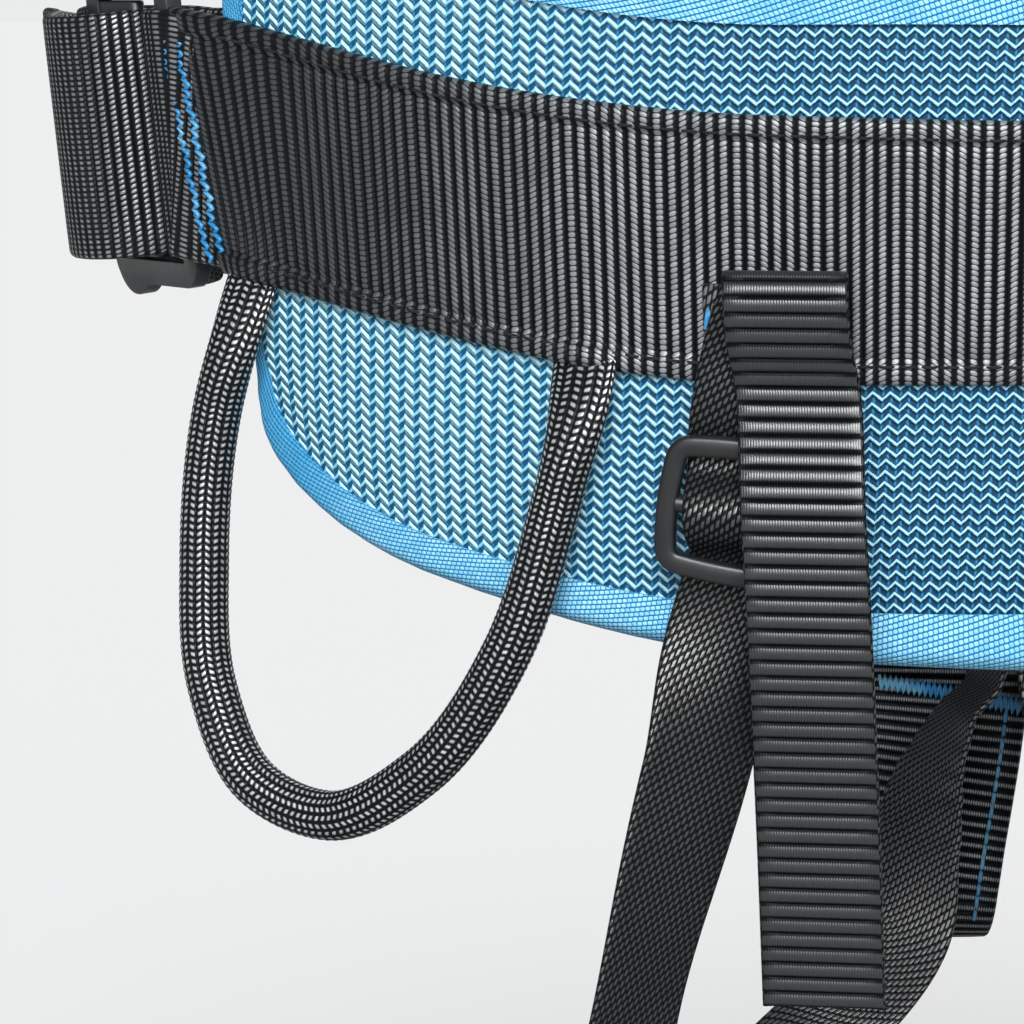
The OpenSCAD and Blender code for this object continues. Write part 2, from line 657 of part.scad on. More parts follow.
// Stations with each span of a twisting strap cut into n
function eased(path, n) = concat(
  [for (i = [0 : len(path) - 2], k = [0 : n - 1])
    [mix(path[i][0], path[i + 1][0], k / n), mix(path[i][1], path[i + 1][1], k / n)]],
  [path[len(path) - 1]]);
riser_path = concat(
  [
    leg_station(riser_leg_angle, -8, leg_sewn_r, leg_across),
    leg_station(riser_leg_angle, leg_band_height / 2 + 1, leg_sewn_r, leg_across)
  ],
  eased([
    leg_station(riser_leg_angle, leg_pad_half + 4, leg_sewn_r + 2, leg_across),
    [[77, 100, -165], twist(32)],
    [[70, 104, -125], twist(40)],
    [at(riser_site, 8.5, behind_bar + 3, -82), twist(22)],
    riser_station(1.3, behind_bar - 3 * layer_gap, glide_height - glide_half - 1)
  ], 4),
  [riser_station(0, behind_bar, glide_height - ride_run)],
  [for (p = around_bar(ride_radius, -45, 45, 4)) riser_station(0, p[0], p[1])],
  [
    riser_station(0, behind_bar, glide_height + ride_run),
    riser_station(-0.2, behind_bar, glide_height + glide_half + 0.5),
    riser_station(-0.8, on_hem + anchor_half + layer_gap + riser_half + 0.2, -band_height / 2 - 3),
    riser_station(-3, on_hem + anchor_half + layer_gap + riser_half + 0.6, -14),
    riser_station(-5.2, on_hem + anchor_half + 2.6, -7)
  ],
  [for (a = [30, 90, 150]) riser_station(-5.7 - a / 75, on_hem + 5 - 2.2 * cos(a), fold_v + 2.2 * sin(a))],
  [for (p = tail_route) riser_station(p[0], tail_out + p[1], fold_v - riser_tail * p[2])]);
module riser_strap_left() { color(black) strap(riser_path, riser_width, riser_thickness); }
module riser_strap_right() { mirror([1, 0, 0]) riser_strap_left(); }

// Front: belay loop threaded through both tie-in loops
front_face = waist_half_depth + inner_r(waist, buckle_angle, 180) + web_half;
front_mid = lift(180);
belay_swing = 15;
belay_back = belay_eye / 2 + belay_thickness;
belay_y = -(front_face + waist[2] * 8 + layer_gap + belay_back * cos(belay_swing)
  + belay_width / 2 * sin(belay_swing));
belay_top = front_mid + tie_width / 2 + 2 * layer_gap - belay_eye / 2;
belay_centre = belay_eye / 2 + belay_thickness / 2;
belay_path = concat(
  [for (a = steps(0, 180, 10)) [[0, belay_y + belay_centre * cos(a),
    belay_top + belay_centre * sin(a)], [1, 0, 0]]],
  [for (a = steps(180, 360, 10)) [[0, belay_y + belay_centre * cos(a),
    belay_bottom + belay_centre + belay_thickness / 2 + belay_centre * sin(a)], [1, 0, 0]]]);
module belay_loop() {
  color(black) strap(belay_path, belay_width, belay_thickness, closed = true);
}

tie_flat = inner_r(waist, buckle_angle, 180) + web_half + layer_gap + tie_thickness / 2;
tie_bulge = -belay_y - waist_half_depth - waist[2] * front_mid;
tie_clear = asin((belay_width / 2 + 2) / waist_half_width);
tie_ramp = 8;
tie_sewn = 7;
tie_last = tie_clear + tie_ramp + tie_sewn;
tie_crown_span = belay_width / 2 + 6;
upper_tie_path = [
  for (d = steps(-tie_last, tie_last, 36))
    let (
      share = smooth((tie_clear + tie_ramp - abs(d)) / tie_ramp),
      fall = tie_crown * smooth(waist_half_width * sin(abs(d)) / tie_crown_span),
      bulge = tie_bulge + belt_flare * fall
    )
    ring_station(waist, 180 + d, lift(180 - abs(d)) - fall, mix(tie_flat, bulge, share))
];
module upper_tie_in() { color(black) strap(upper_tie_path, tie_width, tie_thickness); }

// Lower tie-in: a flat closed loop round the belay loop's back run
lower_tie_shift = -7;
lower_tie_half = belay_width / 2 + 19;
lower_tie_back = belay_y + belay_back + belay_width / 2 * sin(belay_swing) + tie_thickness / 2 + 1;
lower_tie_bend = (lower_tie_back - belay_y) / 2;
lower_tie_path = concat(
  [for (a = steps(-90, 90, 8)) [[lower_tie_shift + lower_tie_half - lower_tie_bend
    + lower_tie_bend * cos(a), (belay_y + lower_tie_back) / 2 + lower_tie_bend * sin(a),
    lower_tie_height], [0, 0, 1]]],
  [for (a = steps(90, 270, 8)) [[lower_tie_shift - lower_tie_half + lower_tie_bend
    + lower_tie_bend * cos(a), (belay_y + lower_tie_back) / 2 + lower_tie_bend * sin(a),
    lower_tie_height], [0, 0, 1]]]);
module lower_tie_in() {
  color(black) strap(lower_tie_path, tie_width, tie_thickness, closed = true);
}

// Hangers from the lower tie-in loop to the leg webbing
leg_band_end = leg_pad_end + 2;
leg_buckle = leg_band_end + (frame_bar - window_back + leg_loop_gap) / ring_speed(leg, leg_band_end);
leg_keeper_angle = leg_buckle + 42;
leg_tail_end = leg_keeper_angle + 7;
hanger_angle = leg_tail_end + 10;
hanger_r = inner_r(leg, leg_buckle, hanger_angle) + web_half + 2 * layer_gap + riser_half;
hang_y = lower_tie_back + tie_thickness / 2 + layer_gap + riser_half;
hanger_left_across = leg_turn(ring_tangent(leg, hanger_angle) * -1);
hanger_left_path = [
  [[lower_tie_shift - 3, hang_y, lower_tie_height + tie_width / 2 - 1], [-1, 0, 0]],
  [[lower_tie_shift - 3, hang_y, lower_tie_height - tie_width / 2 - 1], [-1, 0, 0]],
  [[-9, hang_y + 7, -98], [-0.75, 0.66, 0]],
  [[-4, hang_y + 10, -112], [-0.6, 0.8, 0]],
  [[4, hang_y + 14, -128], [-0.85, 0.5, 0]],
  [[14, hang_y + 20, -146], [-1, 0.2, 0]],
  [[30, hang_y + 26, -166], [-1, 0.4, 0]],
  leg_station(hanger_angle, leg_webbing / 2 + 4, hanger_r + 2.5, ring_tangent(leg, hanger_angle)),
  leg_station(hanger_angle, leg_webbing / 2, hanger_r + 0.6, ring_tangent(leg, hanger_angle)),
  leg_station(hanger_angle, -leg_webbing / 2 + 3, hanger_r, ring_tangent(leg, hanger_angle))
];
module leg_hanger_left() { color(black) strap(hanger_left_path, riser_width, riser_thickness); }
function right_leg_station(z, r) =
  let (p = leg_station(hanger_angle, z, r, ring_tangent(leg, hanger_angle)))
  [flip_x(p[0]), -flip_x(p[1])];
hanger_right_path = [
  [[lower_tie_shift - 24, hang_y, lower_tie_height + tie_width / 2 - 1], [-1, 0, 0]],
  [[lower_tie_shift - 24, hang_y, lower_tie_height - tie_width / 2], [-1, 0, 0]],
  [[-34, hang_y + 8, -112], [-1, 0, 0]],
  [[-41, hang_y + 18, -140], [-1, -0.1, 0]],
  [[-47, hang_y + 27, -166], [-1, -0.4, 0]],
  right_leg_station(leg_webbing / 2 + 4, hanger_r + 2.5),
  right_leg_station(leg_webbing / 2, hanger_r + 0.6),
  right_leg_station(-leg_webbing / 2 + 3, hanger_r)
];
module leg_hanger_right() { color(black) strap(hanger_right_path, riser_width, riser_thickness); }

// Leg loops
module leg_lining_left() {
  color(grey) leg_place() pad_layer(leg, leg_pad, leg_binding, 0, lining_thickness, 0, 0);
}
module leg_foam_left() {
  color(foam_grey)
    leg_place() pad_layer(leg, leg_pad, leg_binding, foam_r, foam_r + leg_foam, 0, pad_crown);
}
module leg_mesh_left() {
  color(pale_blue)
    leg_place() pad_layer(leg, leg_pad, leg_binding, leg_mesh_r, leg_pad_r, pad_crown, pad_crown);
}
module leg_binding_left() {
  color(blue) leg_place() pad_binding(leg, leg_pad, leg_binding - layer_gap, leg_pad_r);
}
module leg_band_left() {
  color(black)
    leg_place()
      face_band(leg, leg_pad, leg_band_end, 44, leg_band_height, hem_height, leg_band_r,
        leg_band_outer, hem_thickness);
}
leg_sewn_end = leg_hem_outer + layer_gap + web_half;
leg_path = concat(
  threaded(leg, leg_pad, leg_buckle, leg_tail_end, 226, 14),
  [
    ring_station(leg, 236, 0, mix(inner_r(leg, leg_buckle, 226), leg_sewn_end, 0.4)),
    ring_station(leg, 360 - leg_band_end - 2, 0, leg_sewn_end),
    ring_station(leg, 360 - leg_band_end + 3, 0, leg_sewn_end),
    ring_station(leg, 360 - leg_band_end + 12, 0, leg_sewn_end)
  ]);
module leg_strap_left() { color(black) leg_place() strap(leg_path, leg_webbing, webbing_thickness); }
module leg_loop_left() {
  color(black)
    leg_place()
      strap(bar_loop(leg, leg_pad, leg_buckle, leg_band_end, leg_sewn_end, leg_pad_end),
        leg_webbing, webbing_thickness);
}
module leg_frame_left() {
  color(grey) leg_place() on_site(leg, leg_buckle, 0, buckle_seat) buckle_frame(leg_webbing);
}
module leg_slider_left() {
  color(grey) leg_place() on_site(leg, leg_buckle, 0, buckle_seat) buckle_slider(leg_webbing);
}
module leg_keeper_left() {
  color(black) leg_place() keeper(leg, leg_pad, leg_buckle, leg_keeper_angle, leg_webbing);
}
module leg_lining_right() { mirror([1, 0, 0]) leg_lining_left(); }
module leg_foam_right() { mirror([1, 0, 0]) leg_foam_left(); }
module leg_mesh_right() { mirror([1, 0, 0]) leg_mesh_left(); }
module leg_binding_right() { mirror([1, 0, 0]) leg_binding_left(); }
module leg_band_right() { mirror([1, 0, 0]) leg_band_left(); }
module leg_strap_right() { mirror([1, 0, 0]) leg_strap_left(); }
module leg_loop_right() { mirror([1, 0, 0]) leg_loop_left(); }
module leg_frame_right() { mirror([1, 0, 0]) leg_frame_left(); }
module leg_slider_right() { mirror([1, 0, 0]) leg_slider_left(); }
module leg_keeper_right() { mirror([1, 0, 0]) leg_keeper_left(); }

back_lining();
back_foam();
back_mesh();
back_binding();
load_band();
waist_strap();
waist_loop_left();
waist_loop_right();
waist_frame_left();
waist_frame_right();
waist_slider_left();
waist_slider_right();
waist_keeper_left();
waist_keeper_right();
gear_loop_left();
gear_loop_right();
gear_core_left();
gear_core_right();
riser_anchor_left();
riser_anchor_right();
riser_glide_left();
riser_glide_right();
riser_strap_left();
riser_strap_right();
upper_tie_in();
lower_tie_in();
belay_loop();
leg_hanger_left();
leg_hanger_right();
leg_lining_left();
leg_foam_left();
leg_mesh_left();
leg_binding_left();
leg_band_left();
leg_strap_left();
leg_loop_left();
leg_frame_left();
leg_slider_left();
leg_keeper_left();
leg_lining_right();
leg_foam_right();
leg_mesh_right();
leg_binding_right();
leg_band_right();
leg_strap_right();
leg_loop_right();
leg_frame_right();
leg_slider_right();
leg_keeper_right();
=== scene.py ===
"""Climbing harness: the looks of the object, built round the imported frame.

All sizes are millimetres until a mesh is made. Z is up, the wearer's front faces -Y and their left is +X.
A ring is walked by an angle in degrees: 0 at the middle of its pad, 90 at its outer side, 180 opposite it.
"""

import logging
import math
from dataclasses import dataclass, field, replace
from enum import Enum
from typing import Callable, Sequence

import bmesh
import bpy
import numpy as np
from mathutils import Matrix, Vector


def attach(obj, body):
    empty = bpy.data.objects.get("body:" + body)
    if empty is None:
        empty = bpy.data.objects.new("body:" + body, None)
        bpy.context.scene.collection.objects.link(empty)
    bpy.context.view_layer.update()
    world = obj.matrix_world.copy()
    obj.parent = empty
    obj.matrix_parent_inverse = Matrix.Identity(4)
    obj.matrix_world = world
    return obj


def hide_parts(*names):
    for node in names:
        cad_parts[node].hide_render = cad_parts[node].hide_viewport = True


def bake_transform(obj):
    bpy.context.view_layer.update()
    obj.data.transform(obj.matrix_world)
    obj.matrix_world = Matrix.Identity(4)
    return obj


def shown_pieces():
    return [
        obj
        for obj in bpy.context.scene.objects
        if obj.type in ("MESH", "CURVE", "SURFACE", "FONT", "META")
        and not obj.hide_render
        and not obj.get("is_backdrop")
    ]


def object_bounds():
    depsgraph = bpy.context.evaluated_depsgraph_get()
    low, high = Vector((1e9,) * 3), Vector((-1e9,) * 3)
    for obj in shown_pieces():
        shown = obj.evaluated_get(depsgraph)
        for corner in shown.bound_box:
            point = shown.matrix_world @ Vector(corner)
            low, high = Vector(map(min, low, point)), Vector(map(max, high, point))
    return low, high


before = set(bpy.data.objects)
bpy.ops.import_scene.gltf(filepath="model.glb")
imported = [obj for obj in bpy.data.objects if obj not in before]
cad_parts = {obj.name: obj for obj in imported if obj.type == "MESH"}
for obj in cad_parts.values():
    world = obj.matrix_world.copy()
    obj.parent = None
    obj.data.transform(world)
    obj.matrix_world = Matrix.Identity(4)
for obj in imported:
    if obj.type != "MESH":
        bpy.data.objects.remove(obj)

Array = np.ndarray
MM = 0.001
UP = np.array([0.0, 0.0, 1.0])
UV_NAME = "weave"
FUZZ = 9000.0
HIP_RISE = 18.0
FRONT_FALL = 28.0
LEG_TILT = -12.0
LEG_YAW = -30.0
LEG_CENTRE = np.array([98.0, 6.0, -214.0])
FLOOR_GAP = 2.0
log = logging.getLogger("harness")


def smooth(x: Array) -> Array:
    """Smooth step from 0 to 1: 3x^2 - 2x^3, held at 0 and 1 outside."""
    c = np.clip(x, 0.0, 1.0)
    return c * c * (3.0 - 2.0 * c)


def mix(a: Array, b: Array, f: Array) -> Array:
    """Straight mix of a and b by the share f of b: a + (b - a) f."""
    return a + (b - a) * f


def unit(v: Array) -> Array:
    """Vectors along the last axis, scaled to length one."""
    return v / np.linalg.norm(v, axis=-1, keepdims=True)


def hump(x: Array, width: float) -> Array:
    """Bell curve over the distance x from its middle: exp(-(x / width)^2)."""
    return np.exp(-((x / width) ** 2))


def triangle(x: Array) -> Array:
    """Triangle wave of period 1: 1 at whole numbers, falling straight to -1 between them."""
    return 2.0 * np.abs(2.0 * (x % 1.0) - 1.0) - 1.0


def joint(*values: Array) -> Sequence[Array]:
    """Numbers or arrays as float arrays of one joint shape."""
    return np.broadcast_arrays(*(np.asarray(v, float) for v in values))


def ringed(values: Array) -> Array:
    """Values of a closed line, with the first repeated at the end."""
    return np.append(values, values[0])


def travel(x: Array, y: Array) -> Array:
    """Length along a flat line from its first point up to each point at x and y."""
    return np.concatenate([[0.0], np.cumsum(np.hypot(np.diff(x), np.diff(y)))])


def grid(u: Array, v: Array) -> Array:
    """Flat coordinates (rows, columns, 2) of a grid with rows at u and columns at v."""
    return np.stack(np.meshgrid(u, v, indexing="ij"), -1)


class Side(Enum):
    """Side of the wearer; the value is the sign of X."""

    LEFT = 1.0
    RIGHT = -1.0

    @property
    def tag(self) -> str:
        """Ending of this side's piece names."""
        return self.name.lower()

    def place(self, points: Array) -> Array:
        """Points or vectors built for the left side, mirrored in X for the right side."""
        return points * np.array([self.value, 1.0, 1.0])


@dataclass(frozen=True)
class Ring:
    """Flared ellipse that a belt or a leg loop follows."""

    half_width: float
    half_depth: float
    flare: float

    TABLE = np.linspace(-200.0, 400.0, 4801)

    def normal(self, t: Array) -> Array:
        """Level outward direction at angle t.

        Args:
            t: Angles in degrees.

        Returns:
            Unit vectors.
        """
        a = np.radians(np.asarray(t, float))
        x, y = np.sin(a) / self.half_width, np.cos(a) / self.half_depth
        return unit(np.stack([x, y, np.zeros_like(a)], -1))

    def tangent(self, t: Array) -> Array:
        """Direction of travel at angle t.

        Args:
            t: Angles in degrees.

        Returns:
            Unit vectors.
        """
        a = np.radians(np.asarray(t, float))
        x, y = self.half_width * np.cos(a), -self.half_depth * np.sin(a)
        return unit(np.stack([x, y, np.zeros_like(a)], -1))

    def speed(self, t: Array) -> Array:
        """Millimetres of travel for each degree at angle t."""
        a = np.radians(np.asarray(t, float))
        return np.hypot(self.half_width * np.cos(a), self.half_depth * np.sin(a)) * math.pi / 180.0

    def up(self, t: Array) -> Array:
        """Direction up the flared wall."""
        return unit(self.normal(t) * self.flare + UP)

    def out(self, t: Array) -> Array:
        """Direction square to the flared wall."""
        return unit(self.normal(t) - self.flare * UP)

    def bend(self, t: float) -> float:
        """Radius of the ring's curve at angle t."""
        return float((self.speed(t) * 180.0 / math.pi) ** 3 / (self.half_width * self.half_depth))

    def point(self, t: Array, z: Array, r: Array) -> Array:
        """Point at angle t and height z, r outside the wall.

        Args:
            t: Angles in degrees.
            z: Heights.
            r: Distances from the wall.

        Returns:
            Points with the arguments' joint shape.
        """
        t, z, r = joint(t, z, r)
        a = np.radians(t)
        base = np.stack([self.half_width * np.sin(a), self.half_depth * np.cos(a), z], -1)
        return base + self.normal(t) * (r + self.flare * z)[..., None]

    def arc(self, t: Array) -> Array:
        """Length round the ring from angle 0 to t.

        Args:
            t: Angles in degrees.

        Returns:
            Lengths, summed over a fine table of angles.
        """
        table = self.TABLE
        step = self.speed(0.5 * (table[1:] + table[:-1])) * np.diff(table)
        run = np.concatenate([[0.0], np.cumsum(step)])
        return np.interp(t, table, run - np.interp(0.0, table, run))

    def angle(self, s: Array) -> Array:
        """Angle at length s round the ring."""
        return np.interp(s, self.arc(self.TABLE), self.TABLE)


def belt_lift(t: Array) -> Array:
    """Height of the belt's middle line at angle t: up to the hips, then down to the front."""
    size = np.abs(np.asarray(t, float))
    return HIP_RISE * smooth((size - 18.0) / 52.0) - FRONT_FALL * smooth((size - 84.0) / 96.0)


@dataclass(frozen=True)
class Pad:
    """Outline of a pad on its ring."""

    end: float
    top: float
    drop: float
    slope: float
    corner_span: float
    corner_height: float
    lifted: bool

    EASE = 8.0
    TOP_SHARE = 0.8

    def mid(self, t: Array) -> Array:
        """Height of the middle line."""
        return belt_lift(t) if self.lifted else np.zeros_like(np.asarray(t, float))

    def climb(self, t: Array) -> Array:
        """How far the lower edge has climbed: a slope that eases in, plus a quarter ellipse at the corner.

        Args:
            t: Angles in degrees.

        Returns:
            Heights.
        """
        x = np.clip((np.abs(t) - self.end + self.corner_span) / self.corner_span, 0.0, 1.0)
        corner = 1.0 - np.sqrt(np.maximum(0.0, 1.0 - x * x))
        ramp = np.sqrt(np.asarray(t) ** 2 + self.EASE**2) - self.EASE
        return self.slope * ramp + self.corner_height * corner

    def low(self, t: Array) -> Array:
        """Height of the lower edge."""
        return self.mid(t) - self.drop + self.climb(t)

    def high(self, t: Array) -> Array:
        """Height of the upper edge."""
        return self.mid(t) + self.top - self.TOP_SHARE * self.climb(t)


@dataclass(frozen=True)
class Placing:
    """Turn and shift that carries a sub-assembly to its place."""

    turn: Array
    shift: Array

    def points(self, p: Array) -> Array:
        """Places points."""
        return p @ self.turn.T + self.shift

    def vectors(self, v: Array) -> Array:
        """Turns directions."""
        return v @ self.turn.T


def leg_placing() -> Placing:
    """Place of the left leg loop: tilted about X, then turned about Z.

    Returns:
        The placing.
    """
    tilt, yaw = math.radians(LEG_TILT), math.radians(LEG_YAW)
    about_x = np.array([[1, 0, 0], [0, math.cos(tilt), -math.sin(tilt)], [0, math.sin(tilt), math.cos(tilt)]])
    about_z = np.array([[math.cos(yaw), -math.sin(yaw), 0], [math.sin(yaw), math.cos(yaw), 0], [0, 0, 1]])
    return Placing(about_z @ about_x, LEG_CENTRE)


WAIST = Ring(150.0, 108.0, 0.12)
LEG = Ring(78.0, 84.0, 0.08)
BACK_PAD = Pad(58.0, 46.0, 69.0, 0.145, 15.0, 16.0, True)
LEG_PAD = Pad(112.0, 27.0, 27.0, 0.0, 24.0, 14.0, False)
ON_LEG = leg_placing()


@dataclass(frozen=True)
class Site:
    """Flat place on a ring: origin, tangent, outward and up directions."""

    origin: Array
    along: Array
    out: Array
    up: Array

    @classmethod
    def on(cls, ring: Ring, t: float, z: float, r: float) -> "Site":
        """Site on a ring at angle t and height z, r outside the wall."""
        return cls(ring.point(t, z, r), ring.tangent(t), ring.out(t), ring.up(t))

    def at(self, s: Array, h: Array, v: Array = 0.0) -> Array:
        """Points s along, h outwards and v upwards from the origin."""
        s, h, v = joint(s, h, v)
        return self.origin + s[..., None] * self.along + h[..., None] * self.out + v[..., None] * self.up


@dataclass(frozen=True)
class Run:
    """Evenly sampled strap line with its frame."""

    centre: Array
    along: Array
    across: Array
    out: Array
    s: Array
    length: float
    closed: bool

    def pick(self, s: Array, across: Array = 0.0, out: Array = 0.0) -> tuple[Array, Array, Array, Array]:
        """Points on the strap with their frame.

        Args:
            s: Lengths along the strap.
            across: Distances sideways.
            out: Distances outwards.

        Returns:
            Points, along, across and outward directions.
        """
        s, across, out = joint(s, across, out)

        def read(values: Array) -> Array:
            """Reads a value between the samples."""
            return np.stack([np.interp(s, self.s, values[:, k]) for k in range(3)], -1)

        a, w, o = unit(read(self.along)), unit(read(self.across)), unit(read(self.out))
        return read(self.centre) + across[..., None] * w + out[..., None] * o, a, w, o

    def sweep(self, across: Array, out: Array) -> Array:
        """Grid of points (samples, columns, 3) at distances sideways and outwards from the line."""
        across, out = np.asarray(across)[..., None], np.asarray(out)[..., None]
        return self.centre[:, None] + across * self.across[:, None] + out * self.out[:, None]

    def cut(self, start: int, stop: int) -> "Run":
        """Part of the run between two samples, with its lengths kept."""
        kept = {name: getattr(self, name)[start:stop] for name in ("centre", "along", "across", "out", "s")}
        return replace(self, **kept)


@dataclass(frozen=True)
class Path:
    """Stations of a strap: centres and width directions, made square to the line unless told not to."""

    centres: Array
    across: Array
    closed: bool = False
    square: bool = True

    @classmethod
    def joined(cls, *parts: "Path", square: bool = True) -> "Path":
        """One path from several, in order."""
        centres, across = ([getattr(p, name) for p in parts] for name in ("centres", "across"))
        return cls(np.concatenate(centres), np.concatenate(across), square=square)

    def placed(self, place: Placing) -> "Path":
        """The path carried by a placing."""
        return Path(place.points(self.centres), place.vectors(self.across), self.closed, self.square)

    def sided(self, side: Side) -> "Path":
        """The path on one side; the width turns over with the mirror so that outward stays outward."""
        return Path(side.place(self.centres), side.place(self.across) * side.value, self.closed, self.square)

    def turned_back(self) -> "Path":
        """The path from its other end."""
        return Path(self.centres[::-1], self.across[::-1], self.closed)

    def run(self, step: float) -> Run:
        """Smooth run through the stations.

        Each span is a cubic whose end slopes weigh the two neighbouring chords by the other's length, and the
        curve is then sampled evenly by its length.

        Args:
            step: Wanted spacing; the spacing used divides the length evenly.

        Returns:
            The run.
        """
        p, w = self.centres, self.across
        if self.closed:
            p = np.concatenate([p[-2:], p, p[:3]])
            w = np.concatenate([w[-2:], w, w[:3]])
        else:
            p = np.concatenate([[2 * p[0] - p[1]], p, [2 * p[-1] - p[-2]]])
            w = np.concatenate([w[:1], w, w[-1:]])
        d = np.linalg.norm(np.diff(p, axis=0), axis=1)
        d = np.where(d < 1e-6, 1e-6, d)
        chord = np.diff(p, axis=0) / d[:, None]
        slope = (chord[:-1] * d[1:, None] + chord[1:] * d[:-1, None]) / (d[:-1] + d[1:])[:, None]
        a, b, m0, m1, gap = p[1:-2], p[2:-1], slope[:-1], slope[1:], d[1:-1]
        if self.closed:
            a, b, m0, m1, gap = a[1:-1], b[1:-1], m0[1:-1], m1[1:-1], gap[1:-1]
            wa, wb = w[2:-3], w[3:-2]
        else:
            wa, wb = w[1:-2], w[2:-1]
        f = (np.arange(32) / 32.0)[None, :, None]
        h = gap[:, None, None]
        fine = (
            (2 * f**3 - 3 * f**2 + 1) * a[:, None]
            + (f**3 - 2 * f**2 + f) * h * m0[:, None]
            + (3 * f**2 - 2 * f**3) * b[:, None]
            + (f**3 - f**2) * h * m1[:, None]
        ).reshape(-1, 3)
        wide = mix(wa[:, None], wb[:, None], smooth(f)).reshape(-1, 3)
        fine = np.concatenate([fine, b[-1:]])
        wide = np.concatenate([wide, wb[-1:]])
        run = np.concatenate([[0.0], np.cumsum(np.linalg.norm(np.diff(fine, axis=0), axis=1))])
        length = float(run[-1])
        count = max(4, int(round(length / step)))
        s = np.linspace(0.0, length, count + 1)
        centre = np.stack([np.interp(s, run, fine[:, k]) for k in range(3)], -1)
        wide = np.stack([np.interp(s, run, wide[:, k]) for k in range(3)], -1)
        if self.closed:
            centre, wide, s = centre[:-1], wide[:-1], s[:-1]
            along = unit(np.roll(centre, -1, 0) - np.roll(centre, 1, 0))
        else:
            along = unit(np.gradient(centre, axis=0))
        across = unit(wide - along * np.sum(wide * along, -1, keepdims=True))
        out = np.cross(along, across)
        return Run(centre, along, across if self.square else unit(wide), out, s, length, self.closed)


@dataclass(frozen=True)
class Skin:
    """Closed surfaces over a grid of points, with flat coordinates in millimetres.

    points has the shape (batch, rows, columns, 3). Columns join up; rows join up when looped and are capped
    when not. flat has the shape (rows or rows + 1, columns + 1, 2). slots gives each column's material.
    """

    points: Array
    flat: Array
    looped: bool = False
    slots: Array | None = None

    def faces(self) -> tuple[Array, Array, list[Array], list[Array], Array]:
        """Faces of one surface, all turned outwards.

        Returns:
            Quads, their flat coordinates, caps, their flat coordinates, and each quad's material.
        """
        _, n, m, _ = self.points.shape
        i, j = np.meshgrid(np.arange(n if self.looped else n - 1), np.arange(m), indexing="ij")
        k, q = (i + 1) % n, (j + 1) % m
        quads = np.stack([i * m + j, i * m + q, k * m + q, k * m + j], -1).reshape(-1, 4)
        uv = self.flat
        flat = np.stack([uv[i, j], uv[i, j + 1], uv[i + 1, j + 1], uv[i + 1, j]], 2)
        slots = np.zeros(m, int) if self.slots is None else self.slots
        caps = [] if self.looped else [np.arange(m)[::-1], (n - 1) * m + np.arange(m)]
        cap_flat = [] if self.looped else [self.flat[0, :m][::-1], self.flat[n - 1, :m]]
        p = self.points[0].reshape(-1, 3)
        p = p - p.mean(0)
        a, b, c, d = (p[quads[:, x]] for x in range(4))
        volume = np.sum(a * np.cross(b, c)) + np.sum(a * np.cross(c, d))
        volume += sum(np.sum(p[x[0]] * np.cross(p[x[1:-1]], p[x[2:]])) for x in caps)
        flat = flat.reshape(-1, 4, 2)
        if volume < 0:
            quads, flat = quads[:, ::-1], flat[:, ::-1]
            caps, cap_flat = [x[::-1] for x in caps], [x[::-1] for x in cap_flat]
        return quads, flat, caps, cap_flat, slots[j].reshape(-1)


def new_object(name: str, data: bpy.types.ID | None) -> bpy.types.Object:
    """Object at the origin, linked to the scene.

    Args:
        name: Name of the object.
        data: Its mesh, camera or light.

    Returns:
        The object.
    """
    obj = bpy.data.objects.new(name, data)
    bpy.context.scene.collection.objects.link(obj)
    return obj


def make_piece(
    name: str, skins: Sequence[Skin], finishes: Sequence[bpy.types.Material], sharp: float = 60.0
) -> bpy.types.Object:
    """One mesh object from closed surfaces.

    Args:
        name: Name of the piece.
        skins: Surfaces in millimetres.
        finishes: Materials, in slot order.
        sharp: Angle above which an edge stays sharp.

    Returns:
        The object, at the origin and unscaled.
    """
    points, faces, flats, slots, start = [], [], [], [], 0
    for skin in skins:
        batch, n, m, _ = skin.points.shape
        quads, flat, caps, cap_flat, slot = skin.faces()
        shift = start + np.arange(batch) * n * m
        faces.extend((quads[None] + shift[:, None, None]).reshape(-1, 4).tolist())
        flats.append(np.broadcast_to(flat, (batch, *flat.shape)).reshape(-1, 2))
        slots.append(np.tile(slot, batch))
        for cap, own in zip(caps, cap_flat):
            faces.extend((cap[None] + shift[:, None]).tolist())
            flats.append(np.broadcast_to(own, (batch, *own.shape)).reshape(-1, 2))
            slots.append(np.zeros(batch, int))
        points.append(skin.points.reshape(-1, 3))
        start += batch * n * m
    mesh = bpy.data.meshes.new(name)
    mesh.from_pydata((np.concatenate(points) * MM).tolist(), [], faces)
    layer = mesh.uv_layers.new(name=UV_NAME)
    layer.data.foreach_set("uv", np.concatenate(flats).astype(np.float32).ravel())
    for finish in finishes:
        mesh.materials.append(finish)
    mesh.polygons.foreach_set("material_index", np.concatenate(slots).astype(np.int32))
    mesh.polygons.foreach_set("use_smooth", np.ones(len(faces), bool))
    mesh.set_sharp_from_angle(angle=math.radians(sharp))
    mesh.validate()
    mesh.update()
    return new_object(name, mesh)


def fit(obj: bpy.types.Object, body: str, slot: str, *nodes: str) -> bpy.types.Object:
    """Puts a finished piece on its body in place of CAD nodes.

    Args:
        obj: The piece.
        body: Body it rides on.
        slot: Not used.
        nodes: CAD nodes it stands for.

    Returns:
        The piece.
    """
    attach(obj, body)
    if nodes:
        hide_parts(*nodes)
    return obj


